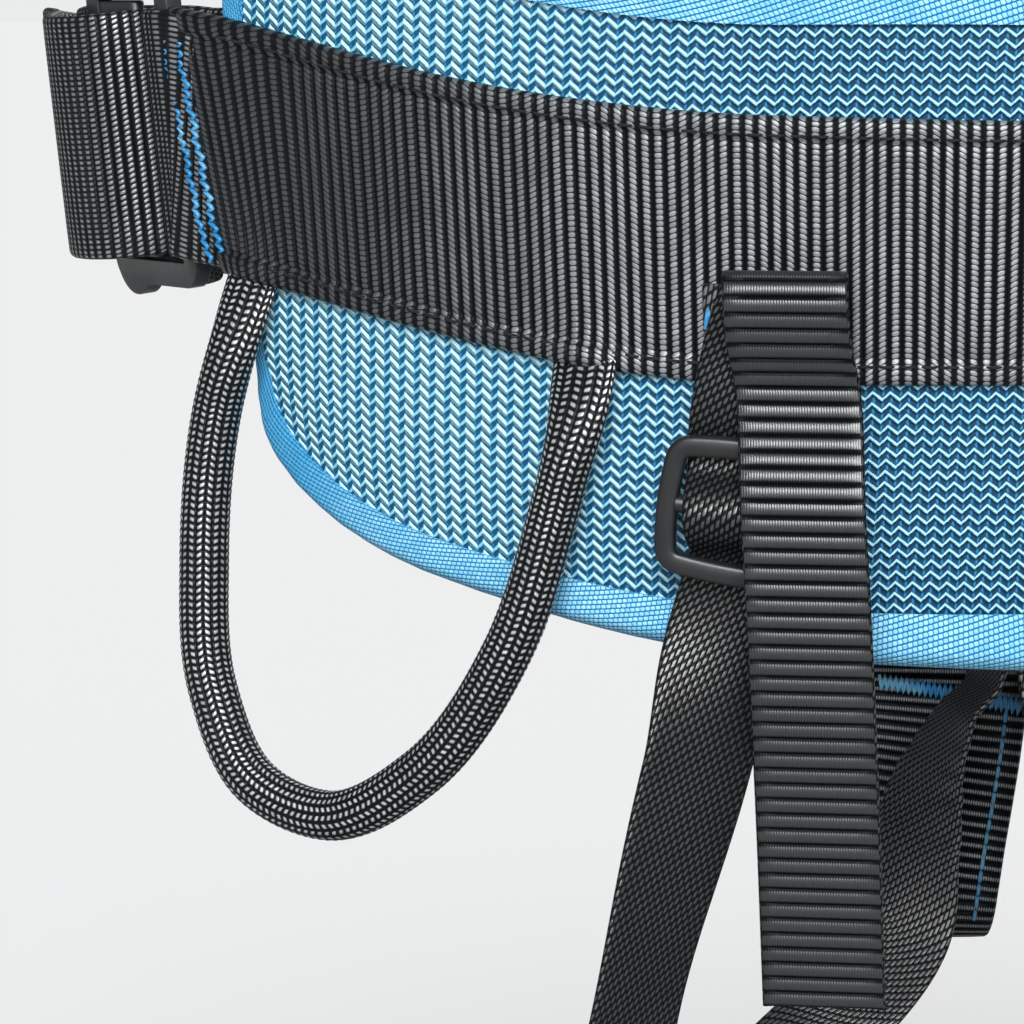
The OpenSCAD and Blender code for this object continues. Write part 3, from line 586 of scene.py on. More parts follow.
def fit_between(
    obj: bpy.types.Object, bodies: tuple[str, str], span: tuple[Array, Array], slot: str, *nodes: str
) -> bpy.types.Object:
    """Bakes a strap's placement into its mesh and hides the CAD nodes it stands for; the strap crosses a
    joint between two bodies but rides on neither.

    Args:
        obj: The piece.
        bodies: Not used.
        span: Points in millimetres round the joint; they are read but set nothing.
        slot: Not used.
        nodes: CAD nodes it stands for.

    Returns:
        The piece.
    """
    tuple(span[0] * MM)
    tuple(span[1] * MM)
    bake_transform(obj)
    if nodes:
        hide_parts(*nodes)
    return obj


class Ribbed(Enum):
    """Faces of a strap that carry raised ribs, as weights of its outer and inner face."""

    NONE = (0.0, 0.0)
    INNER = (0.0, 1.0)
    BOTH = (1.0, 1.0)


@dataclass(frozen=True)
class Weave:
    """Flat woven strap."""

    width: float
    thickness: float
    ribbed: Ribbed = Ribbed.BOTH
    pitch: float = 2.0
    depth: float = 0.3
    samples: int = 7
    columns: int = 12
    bevel: float = 0.5
    two_faced: bool = False

    SINK = 0.72

    def run(self, path: Path) -> Run:
        """Run sampled so that every rib has the same number of steps.

        Args:
            path: Stations of the strap.

        Returns:
            The run.
        """
        coarse = path.run(1.0)
        ribs = max(1, round(coarse.length / self.pitch))
        return path.run(coarse.length / (ribs * self.samples))

    def skin(self, run: Run) -> Skin:
        """Strap surface: a rounded flat section swept along the run, with round-topped ribs across it.

        A rib's height is a power of a half sine over its pitch, faded out at the two edges.

        Args:
            run: Line of the strap.

        Returns:
            The surface.
        """
        half, thick = self.width / 2.0, self.thickness / 2.0
        soft = min(thick, 0.9)
        x = np.linspace(-1.0, 1.0, self.columns + 1)
        turn = np.radians(np.array([60.0, 30.0, 0.0, -30.0, -60.0]))
        edge_x, edge_y = half - soft + soft * np.cos(turn), thick * np.sin(turn)
        px = np.concatenate([x * (half - soft), edge_x, -x * (half - soft), -edge_x])
        py = np.concatenate([np.full_like(x, thick), edge_y, np.full_like(x, -thick), -edge_y])
        fade = np.clip(1.3 - np.abs(x) ** 8, 0.0, 1.0)
        zero = np.zeros_like(edge_x)
        outer, inner = self.ribbed.value
        lift = np.concatenate([fade * outer, zero, -fade * inner, zero])
        pitch = run.length / max(1, round(run.length / self.pitch))
        ridge = np.abs(np.sin(np.pi * run.s / pitch)) ** self.bevel - self.SINK
        points = run.sweep(px, py + ridge[:, None] * self.depth * lift)
        s = np.append(run.s, run.length) if run.closed else run.s
        flat = grid(s * self.pitch / pitch, travel(ringed(px), ringed(py)))
        slots = None
        if self.two_faced:
            slots = np.zeros(len(px), int)
            slots[len(x) + len(zero) - 1 : 2 * len(x) + len(zero)] = 1
        return Skin(points[None], flat, run.closed, slots)

    def cloth(self, path: Path) -> Skin:
        """Strap surface along a path."""
        return self.skin(self.run(path))


def tubes(lines: Array, normals: Array, radius: Array, sides: int = 6) -> Skin:
    """Round threads along several lines.

    Each section is a circle square to the line, its zero angle on the given normal.

    Args:
        lines: Points with the shape (threads, rows, 3).
        normals: A direction away from each line, same shape.
        radius: Radius at each row.
        sides: Corners of the section.

    Returns:
        The surface.
    """
    along = unit(np.gradient(lines, axis=1))
    n = unit(normals - along * np.sum(normals * along, -1, keepdims=True))
    b = np.cross(along, n)
    a = np.linspace(0.0, 2.0 * math.pi, sides, endpoint=False)
    ring = n[:, :, None] * np.cos(a)[:, None] + b[:, :, None] * np.sin(a)[:, None]
    radius = np.broadcast_to(radius, lines.shape[1])
    points = lines[:, :, None] + ring * radius[None, :, None, None]
    step = np.linalg.norm(np.diff(lines[0], axis=0), axis=1)
    s = np.concatenate([[0.0], np.cumsum(step)])
    girth = np.linspace(0.0, 2.0 * math.pi * float(np.max(radius)), sides + 1)
    return Skin(points, grid(s, girth))


def stitches(centres: Array, along: Array, out: Array, length: float, radius: float) -> Skin:
    """Row of separate stitches, each a short thread whose ends dive into the cloth.

    Args:
        centres: Middle of each stitch on the cloth.
        along: Direction of each stitch.
        out: Direction out of the cloth.
        length: Length of a stitch.
        radius: Radius of the thread.

    Returns:
        The surface.
    """
    f = np.linspace(-1.0, 1.0, 7)
    arch = radius * (1.1 - 2.6 * f**4)
    reach = f * length / 2
    lines = centres[:, None] + along[:, None] * reach[:, None] + out[:, None] * arch[:, None]
    return tubes(lines, np.broadcast_to(out[:, None], lines.shape), radius * (1.0 - 0.45 * f**6))


def bartack(run: Run, s: float, tilt: float, out: float, length: float, height: float, turns: int) -> Skin:
    """Dense zig-zag seam: one thread that swings back and forth along the strap while it crosses it.

    Args:
        run: Strap that it is sewn on.
        s: Place along the strap.
        tilt: Climb along the strap for each millimetre across it.
        out: Height of the cloth's face over the strap's middle.
        length: Length across the strap.
        height: Swing along the strap.
        turns: Number of swings.

    Returns:
        The surface.
    """
    f = np.linspace(0.0, 1.0, turns * 6 + 1)
    swing = triangle(f * turns)
    lift = 0.3 + 0.25 * (1.0 - swing**2)
    side = (f - 0.5) * length
    line, _, _, normal = run.pick(s + swing * height / 2 + tilt * side, side, out + lift * np.sign(out))
    return tubes(line[None], normal[None], 0.36)


class Wire:
    """Value in a shader graph; arithmetic on it adds math nodes."""

    def __init__(self, graph: "Graph", socket: bpy.types.NodeSocket) -> None:
        """Holds an output socket and its graph."""
        self.graph, self.socket = graph, socket

    def _math(self, kind: str, *others: "Wire | float") -> "Wire":
        """Math node with this value first."""
        return self.graph.math(kind, self, *others)

    def __add__(self, other: "Wire | float") -> "Wire":
        """Sum."""
        return self._math("ADD", other)

    def __sub__(self, other: "Wire | float") -> "Wire":
        """Difference."""
        return self._math("SUBTRACT", other)

    def __mul__(self, other: "Wire | float") -> "Wire":
        """Product."""
        return self._math("MULTIPLY", other)

    def __rsub__(self, other: float) -> "Wire":
        """Number less this value."""
        return self.graph.math("SUBTRACT", other, self)

    def __truediv__(self, other: "Wire | float") -> "Wire":
        """Quotient."""
        return self._math("DIVIDE", other)

    def fract(self) -> "Wire":
        """Part after the point."""
        return self._math("FRACT")

    def swing(self) -> "Wire":
        """Rise from -1 to 1 between whole numbers."""
        return self.fract() * 2.0 - 1.0

    def floor(self) -> "Wire":
        """Part before the point."""
        return self._math("FLOOR")

    def size(self) -> "Wire":
        """Distance from zero."""
        return self._math("ABSOLUTE")

    def power(self, exponent: float) -> "Wire":
        """Raised to an exponent."""
        return self._math("POWER", exponent)

    def step(self, low: float, high: float) -> "Wire":
        """Smooth step between two values."""
        return self.graph.range(self, low, high)


class Graph:
    """Small helper that adds nodes to a shader tree."""

    def __init__(self, tree: bpy.types.NodeTree) -> None:
        """Holds the tree."""
        self.tree = tree

    def node(self, kind: str, **inputs: "Wire | float | tuple") -> bpy.types.Node:
        """Adds a node and feeds its named inputs.

        Args:
            kind: Node type.
            inputs: Values or wires by socket name, underscores for spaces.

        Returns:
            The node.
        """
        node = self.tree.nodes.new(kind)
        for name, value in inputs.items():
            self.feed(node.inputs[name.replace("_", " ")], value)
        return node

    def feed(self, socket: bpy.types.NodeSocket, value: "Wire | float | tuple") -> None:
        """Links a wire to a socket, or sets its constant.

        Args:
            socket: Input to feed.
            value: Wire or constant.
        """
        if isinstance(value, Wire):
            self.tree.links.new(value.socket, socket)
        else:
            socket.default_value = value

    def math(self, kind: str, *values: "Wire | float") -> Wire:
        """Adds a math node.

        Args:
            kind: Operation.
            values: Its inputs in order.

        Returns:
            The result.
        """
        node = self.tree.nodes.new("ShaderNodeMath")
        node.operation = kind
        for socket, value in zip(node.inputs, values):
            self.feed(socket, value)
        return Wire(self, node.outputs[0])

    def range(
        self,
        value: Wire,
        low: "Wire | float",
        high: "Wire | float",
        to_low: float = 0.0,
        to_high: float = 1.0,
    ) -> Wire:
        """Adds a smooth step between two values.

        Args:
            value: Value to map.
            low: Where the step starts.
            high: Where it ends.
            to_low: Result before it.
            to_high: Result after it.

        Returns:
            The result.
        """
        ends = {"From_Min": low, "From_Max": high, "To_Min": to_low, "To_Max": to_high}
        node = self.node("ShaderNodeMapRange", Value=value, **ends)
        node.interpolation_type = "SMOOTHSTEP"
        return Wire(self, node.outputs["Result"])

    def blend(self, share: "Wire | float", a: "Wire | tuple", b: "Wire | tuple") -> Wire:
        """Adds a colour mix.

        Args:
            share: Share of b.
            a: Colour at 0.
            b: Colour at 1.

        Returns:
            The colour.
        """
        node = self.tree.nodes.new("ShaderNodeMix")
        node.data_type = "RGBA"
        self.feed(node.inputs[0], share)
        self.feed(node.inputs[6], a)
        self.feed(node.inputs[7], b)
        return Wire(self, node.outputs[2])

    def flat(self) -> tuple[Wire, Wire]:
        """Flat coordinates of the cloth, along and across, in millimetres.

        Returns:
            Both coordinates.
        """
        node = self.tree.nodes.new("ShaderNodeUVMap")
        node.uv_map = UV_NAME
        split = self.node("ShaderNodeSeparateXYZ", Vector=Wire(self, node.outputs[0]))
        return Wire(self, split.outputs[0]), Wire(self, split.outputs[1])

    def place(self) -> Wire:
        """Object coordinates, in metres."""
        return Wire(self, self.tree.nodes.new("ShaderNodeTexCoord").outputs["Object"])

    def beside(self) -> Wire:
        """Distance from the middle plane, in millimetres."""
        parts = self.node("ShaderNodeSeparateXYZ", Vector=self.place())
        return Wire(self, parts.outputs["X"]).size() * 1000.0

    def seen(self) -> Wire:
        """1 where the camera looks straight at it, else 0."""
        return Wire(self, self.tree.nodes.new("ShaderNodeLightPath").outputs["Is Camera Ray"])

    def chance(self, x: Wire, y: Wire) -> Wire:
        """Random value of the cell at x and y, from 0 to 1.

        Args:
            x: Whole number of the cell.
            y: Its second whole number.

        Returns:
            The value.
        """
        spot = self.node("ShaderNodeCombineXYZ", X=x, Y=y)
        node = self.node("ShaderNodeTexWhiteNoise", Vector=Wire(self, spot.outputs[0]))
        return Wire(self, node.outputs["Value"])

    def bump(self, shader: bpy.types.Node, relief: float, height: Wire) -> None:
        """Feeds a shader's normal from a height map that is relief millimetres deep."""
        node = self.node("ShaderNodeBump", Strength=1.0, Distance=relief * MM, Height=height)
        self.feed(shader.inputs["Normal"], Wire(self, node.outputs[0]))

    def noise(self, scale: float, detail: float = 2.0) -> Wire:
        """Noise from 0 to 1 over object coordinates: scale features a metre, in detail octaves."""
        node = self.node("ShaderNodeTexNoise", Vector=self.place(), Scale=scale, Detail=detail)
        return Wire(self, node.outputs["Fac"])

    def group(self, group: bpy.types.NodeTree, **inputs: "Wire | float") -> dict[str, Wire]:
        """Adds a node group.

        Args:
            group: The group.
            inputs: Values or wires by socket name.

        Returns:
            Its outputs by name.
        """
        node = self.tree.nodes.new("ShaderNodeGroup")
        node.node_tree = group
        for name, value in inputs.items():
            self.feed(node.inputs[name], value)
        return {s.name: Wire(self, s) for s in node.outputs}


def new_group(
    name: str, inputs: Sequence[str], outputs: Sequence[str]
) -> tuple[Graph, dict[str, Wire], bpy.types.Node]:
    """Starts a shader node group of plain values.

    Args:
        name: Name of the group.
        inputs: Input names.
        outputs: Output names.

    Returns:
        The graph, its inputs by name and its output node.
    """
    tree = bpy.data.node_groups.new(name, "ShaderNodeTree")
    for label in inputs:
        tree.interface.new_socket(label, in_out="INPUT", socket_type="NodeSocketFloat")
    for label in outputs:
        tree.interface.new_socket(label, in_out="OUTPUT", socket_type="NodeSocketFloat")
    graph = Graph(tree)
    source = tree.nodes.new("NodeGroupInput")
    sink = tree.nodes.new("NodeGroupOutput")
    return graph, {s.name: Wire(graph, s) for s in source.outputs if s.name}, sink


def yarn_group() -> bpy.types.NodeTree:
    """Node group for woven yarns: columns of slanting beads.

    Column height is 1 - x^2 over its pitch, bead height the same over the yarn pitch. A bead slants by the
    lean, which swings from column to column with the drift; the chevron bends neighbouring columns opposite
    ways. A bead counts as crest where its swell (the column height, seven tenths of it even and the rest by
    the bead height) is above the rim and its own height above the cut.

    Returns:
        The group.
    """
    names = ["Along", "Across", "Column", "Yarn", "Lean", "Drift", "Chevron", "Stagger", "Rim", "Cut"]
    graph, given, sink = new_group("yarns", names, ["Height", "Crest", "Tone"])
    place = given["Across"] / given["Column"]
    lane = place.floor()
    x = place.swing()
    ridge = 1.0 - x * x
    sway = graph.math("SINE", lane * given["Drift"] + 1.3)
    fold = (place * 0.5).swing().size()
    slant = given["Along"] / given["Yarn"] + given["Lean"] * x * sway
    y = slant + given["Chevron"] * fold + lane * given["Stagger"]
    f = y.swing()
    bead = 1.0 - f * f
    swell = ridge * (bead * 0.3 + 0.7)
    crest = graph.range(swell, given["Rim"], given["Rim"] + 0.3)
    crest = crest * graph.range(bead, given["Cut"], given["Cut"] + 0.4)
    graph.feed(sink.inputs["Height"], ridge.power(0.5) * (bead * 0.5 + 0.5))
    graph.feed(sink.inputs["Crest"], crest)
    graph.feed(sink.inputs["Tone"], graph.chance(lane, y.floor()))
    return graph.tree


def zigzag_group() -> bpy.types.NodeTree:
    """Node group for the knitted mesh: rows of thread that zig-zag along the cloth, with holes between them.

    A row's line is a triangle wave whose falling side is longer and carries more thread. The thread's height
    falls with the distance from that line, and the cover widens it. Tone is the share of the painted
    highlight
    colour: the fuller side times the cover, an even share where the cover is low, and a random quarter, so
    the long falling strokes are painted lit, most of all towards the pad's sides.

    Returns:
        The group.
    """
    names = ["Along", "Across", "Wave", "Row", "Rise", "Cover"]
    graph, given, sink = new_group("zigzag", names, ["Height", "Thread", "Under", "Tone"])
    x = given["Along"] / given["Wave"] + (given["Across"] / given["Row"]).floor() * 0.04
    part = x.fract()
    full = part.step(0.36, 0.5)
    wave = graph.math("MINIMUM", part * 2.4, (1.0 - part) * 1.714)
    y = (given["Across"] + given["Rise"] * wave) / given["Row"]
    f = y.swing().size()
    under = (x * 2.0 + 0.25).swing().size()
    line = 1.0 - f
    edge = 0.62 - given["Cover"] * (full * 0.34 + 0.12)
    even = (1.0 - given["Cover"]) * 0.5
    chance = graph.chance((x * 2.0).floor(), y.floor())
    graph.feed(sink.inputs["Height"], line.step(0.2, 0.95))
    graph.feed(sink.inputs["Thread"], graph.range(line, edge, edge + 0.2))
    graph.feed(sink.inputs["Under"], under.step(0.6, 0.95) * f)
    # Tone: share of the painted highlight colour.
    graph.feed(sink.inputs["Tone"], full * given["Cover"] * 0.75 + even + chance * 0.25)
    return graph.tree


def tint(code: str) -> tuple[float, float, float, float]:
    """Linear red, green, blue and alpha from six hex digits."""
    parts = [int(code[i : i + 2], 16) / 255.0 for i in (0, 2, 4)]
    return (*[p / 12.92 if p <= 0.04045 else ((p + 0.055) / 1.055) ** 2.4 for p in parts], 1.0)


@dataclass(frozen=True)
class Cloth:
    """Woven finish: the crest colour paints a highlight on the raised yarns, partly real twill on the
    binding; the gap colour paints shade.
    """

    name: str
    gap: str
    yarn: str
    crest: str
    column: float
    pitch: float
    lean: float = 0.0
    drift: float = 0.0
    chevron: float = 0.0
    stagger: float = 0.0
    rim: float = 0.3
    cut: float = 0.2
    ribs_across: bool = True
    turn: float = 0.0
    relief: float = 0.2
    rough: float = 0.5
    specular: float = 0.5
    ior: float = 1.5
    sheen: float = 0.0
    # Painted shade: these three fields take away up to fade of the crest's painted highlight between two
    # distances beside the middle plane, as on the band's ends and the binding's corners.
    fade: float = 0.0
    fade_from: float = 60.0
    fade_to: float = 125.0

    GAP_SHINE = 0.06

    def build(self, yarns: bpy.types.NodeTree) -> bpy.types.Material:
        """Makes the material.

        Args:
            yarns: Node group of woven yarns.

        Returns:
            The material.
        """
        material, graph, shader = new_material(self.name)
        u, v = graph.flat()
        if self.turn:
            c, s = math.cos(math.radians(self.turn)), math.sin(math.radians(self.turn))
            u, v = u * c - v * s, u * s + v * c
        along, across = (v, u) if self.ribs_across else (u, v)
        cloth = graph.group(
            yarns, Along=along, Across=across, Column=self.column, Yarn=self.pitch, Lean=self.lean,
            Drift=self.drift, Chevron=self.chevron, Stagger=self.stagger, Rim=self.rim, Cut=self.cut,
        )
        # Random patches in which the crest's painted highlight is weaker.
        highlight_patches = graph.noise(70.0).step(0.3, 0.7)
        # Painted shade: the dark gap colour where the yarns' height is low, the yarn colour on top.
        base = graph.blend(cloth["Height"].step(0.25, 0.75), tint(self.gap), tint(self.yarn))
        # Painted highlight: the share of the light crest colour on the raised yarns.
        share = cloth["Crest"] * (cloth["Tone"] * 0.4 + 0.6) * (highlight_patches * 0.3 + 0.7)
        # Painted shade: less crest highlight away from the middle plane.
        if self.fade:
            share = share * graph.range(graph.beside(), self.fade_from, self.fade_to, 1.0, 1.0 - self.fade)
        graph.feed(shader.inputs["Base Color"], graph.blend(share, base, tint(self.crest)))
        fuzz = graph.noise(FUZZ, 1.0)
        graph.bump(shader, self.relief, cloth["Height"] + fuzz * 0.15)
        graph.feed(shader.inputs["Roughness"], fuzz * 0.2 + (self.rough - 0.1))
        gap_shine = self.specular * self.GAP_SHINE
        shine = cloth["Crest"] * (self.specular - gap_shine) + gap_shine
        graph.feed(shader.inputs["Specular IOR Level"], shine)
        shader.inputs["IOR"].default_value = self.ior
        shader.inputs["Sheen Weight"].default_value = self.sheen
        shader.inputs["Sheen Roughness"].default_value = 0.4
        return material


@dataclass(frozen=True)
class Knit:
    """Open mesh finish: its glint colour is a painted highlight on the long strokes, its hole colour painted
    shade.
    """

    name: str
    hole: str
    under: str
    thread: str
    glint: str
    wave: float = 2.94
    row: float = 1.83
    rise: float = 1.2
    relief: float = 0.5

    def build(self, zigzag: bpy.types.NodeTree) -> bpy.types.Material:
        """Makes the material.

        Args:
            zigzag: Node group of zig-zag rows.

        Returns:
            The material.
        """
        material, graph, shader = new_material(self.name)
        u, v = graph.flat()
        # Grows towards the pad's sides: it widens the threads there and raises the share of their painted
        # highlight.
        cover_and_glint = u.size().step(35.0, 115.0)
        knit = graph.group(
            zigzag, Along=u, Across=v, Wave=self.wave, Row=self.row, Rise=self.rise, Cover=cover_and_glint
        )
        # Painted shade: the dark hole colour between the threads, partly the knit's own navy.
        base = graph.blend(knit["Under"], tint(self.hole), tint(self.under))
        # Darker from the thread's edge into the hole, painted shade; lighter towards the pad's sides, painted
        # light.
        base = graph.blend(knit["Height"] * 0.6 + cover_and_glint * 0.2, base, tint(self.under))
        # Painted highlight: the glint colour on the long strokes.
        thread = graph.blend(knit["Tone"], tint(self.thread), tint(self.glint))
        graph.feed(shader.inputs["Base Color"], graph.blend(knit["Thread"], base, thread))
        fuzz = graph.noise(FUZZ, 1.0)
        graph.bump(shader, self.relief, knit["Height"] + fuzz * 0.08)
        shader.inputs["Roughness"].default_value = 0.5
        shader.inputs["Specular IOR Level"].default_value = 0.25
        return material


@dataclass(frozen=True)
class Plain:
    """Finish without a weave: metal, plastic, foam or thread."""

    name: str
    colour: str
    worn: str
    rough: float
    metallic: float = 0.0
    grain: float = 600.0
    relief: float = 0.02

    def build(self) -> bpy.types.Material:
        """Makes the material.

        Returns:
            The material.
        """
        material, graph, shader = new_material(self.name)
        broad = graph.noise(90.0, 4.0)
        fine = graph.noise(self.grain, 3.0)
        colour = graph.blend(broad.step(0.35, 0.7), tint(self.colour), tint(self.worn))
        graph.feed(shader.inputs["Base Color"], colour)
        graph.feed(shader.inputs["Roughness"], fine * 0.16 + broad * 0.1 + (self.rough - 0.13))
        graph.bump(shader, self.relief, fine)
        shader.inputs["Metallic"].default_value = self.metallic
        return material


def new_material(name: str) -> tuple[bpy.types.Material, Graph, bpy.types.Node]:
    """Starts a material.

    Args:
        name: Name of the material.

    Returns:
        The material, its graph and its main shader.
    """
    material = bpy.data.materials.new(name)
    material.use_nodes = True
    return material, Graph(material.node_tree), material.node_tree.nodes["Principled BSDF"]


@dataclass
class Wardrobe:
    """All finishes of the harness, made once."""

    made: dict[str, bpy.types.Material] = field(default_factory=dict)

    # Crest colours are painted highlights on the raised yarns, and gap colours are painted shade in the
    # grooves; the binding's light crest is partly its own twill too.
    CLOTHS = (
        Cloth(
            "band", "101113", "16181A", "858B91", 2.0, 0.91, lean=0.7, drift=0.5, rim=0.58, cut=0.1,
            relief=0.14, rough=0.4, specular=0.6, ior=1.8, fade=0.9,
        ),
        Cloth(
            "webbing", "101113", "16181A", "74787C", 1.8, 0.91, lean=0.5, drift=0.2, rim=0.64, cut=0.5,
            relief=0.16, rough=0.36, specular=1.0, ior=1.8,
        ),
        Cloth(
            "riser_ribs", "0B0D0F", "101316", "1C1F22", 2.65, 0.45, rim=0.4, cut=-0.2, relief=0.05,
            rough=0.36, specular=0.75, ior=1.6,
        ),
        Cloth(
            "fine_weave", "0C0D0E", "121314", "2E3134", 0.8, 1.9, lean=0.15, stagger=0.45, rim=0.45, cut=0.5,
            ribs_across=False, turn=12.0, relief=0.1, rough=0.4, specular=0.7, ior=1.7,
        ),
        # Painted light: a lighter copy of fine_weave whose brighter yarn and crest paint light on the riser
        # anchors and on the hangers, which lie in the belt's shadow.
        Cloth(
            "soft_weave", "121314", "1C1D1F", "4C4F52", 0.8, 1.9, lean=0.15, stagger=0.45, rim=0.4, cut=0.4,
            ribs_across=False, turn=12.0, relief=0.1, rough=0.4, specular=1.0, ior=1.7,
        ),
        Cloth(
            "belay_ribs", "06090B", "0C1013", "8A9197", 2.15, 0.5, rim=0.72, cut=-0.2, relief=0.05,
            rough=0.42, specular=0.9, ior=1.8,
        ),
        Cloth(
            "elastic", "070708", "141517", "2A2C2F", 0.9, 1.4, stagger=0.5, ribs_across=False, relief=0.15,
            rough=0.6,
        ),
        Cloth(
            "binding", "0F66A2", "2E92C2", "A8D9E7", 1.05, 0.86, stagger=0.33, rim=0.35, cut=0.2,
            ribs_across=False, turn=20.0, relief=0.12, rough=0.5, specular=0.3, fade=0.75, fade_from=106.0,
            fade_to=126.0,
        ),
        Cloth(
            "braid", "0C0D0E", "141517", "B8BCC0", 1.48, 1.2, chevron=0.45, rim=0.6, cut=0.6,
            ribs_across=False, relief=0.14, rough=0.34, specular=1.0, ior=1.9,
        ),
        Cloth(
            "lining", "14171A", "282C31", "3A4046", 1.1, 1.3, stagger=0.5, relief=0.1, rough=0.8, sheen=0.3,
        ),
    )
    KNITS = (Knit("mesh", "063350", "2A80B2", "74C2DE", "BCE6F0"),)
    PLAINS = (
        Plain("metal", "3A3B3D", "434547", 0.36, metallic=0.5),
        Plain("glide", "18191B", "1F2022", 0.36),
        Plain("foam", "5E6064", "6C6E72", 0.9, relief=0.1, grain=2500.0),
        Plain("blue_thread", "2378AE", "74B6D8", 0.4, grain=4000.0),
        Plain("black_thread", "08090A", "101113", 0.85, grain=4000.0),
        Plain("core", "2B2D30", "34363A", 0.5),
    )

    def fill(self) -> "Wardrobe":
        """Makes every finish.

        Returns:
            Itself.
        """
        yarns, zigzag = yarn_group(), zigzag_group()
        self.made.update({c.name: c.build(yarns) for c in self.CLOTHS})
        self.made.update({k.name: k.build(zigzag) for k in self.KNITS})
        self.made.update({p.name: p.build() for p in self.PLAINS})
        return self

    def __getitem__(self, name: str) -> bpy.types.Material:
        """Finish by name."""
        return self.made[name]


@dataclass(frozen=True)
class Layers:
    """Radial build of a padded loop, from the body outwards."""

    foam: float
    lining: float = 1.0
    mesh: float = 1.6
    gap: float = 0.25
    band: float = 1.6
    hem: float = 0.6

    @property
    def foam_r(self) -> float:
        """Inner face of the foam."""
        return self.lining + self.gap

    @property
    def mesh_r(self) -> float:
        """Inner face of the mesh."""
        return self.foam_r + self.foam + self.gap

    @property
    def pad_r(self) -> float:
        """Outer face of the pad."""
        return self.mesh_r + self.mesh

    @property
    def band_r(self) -> float:
        """Inner face of the face band."""
        return self.pad_r + self.gap

    @property
    def band_outer(self) -> float:
        """Outer face of the face band."""
        return self.band_r + self.band

    @property
    def hem_outer(self) -> float:
        """Outer face of the hems."""
        return self.band_outer + self.hem


WAIST_LAYERS = Layers(6.0)
LEG_LAYERS = Layers(4.0)


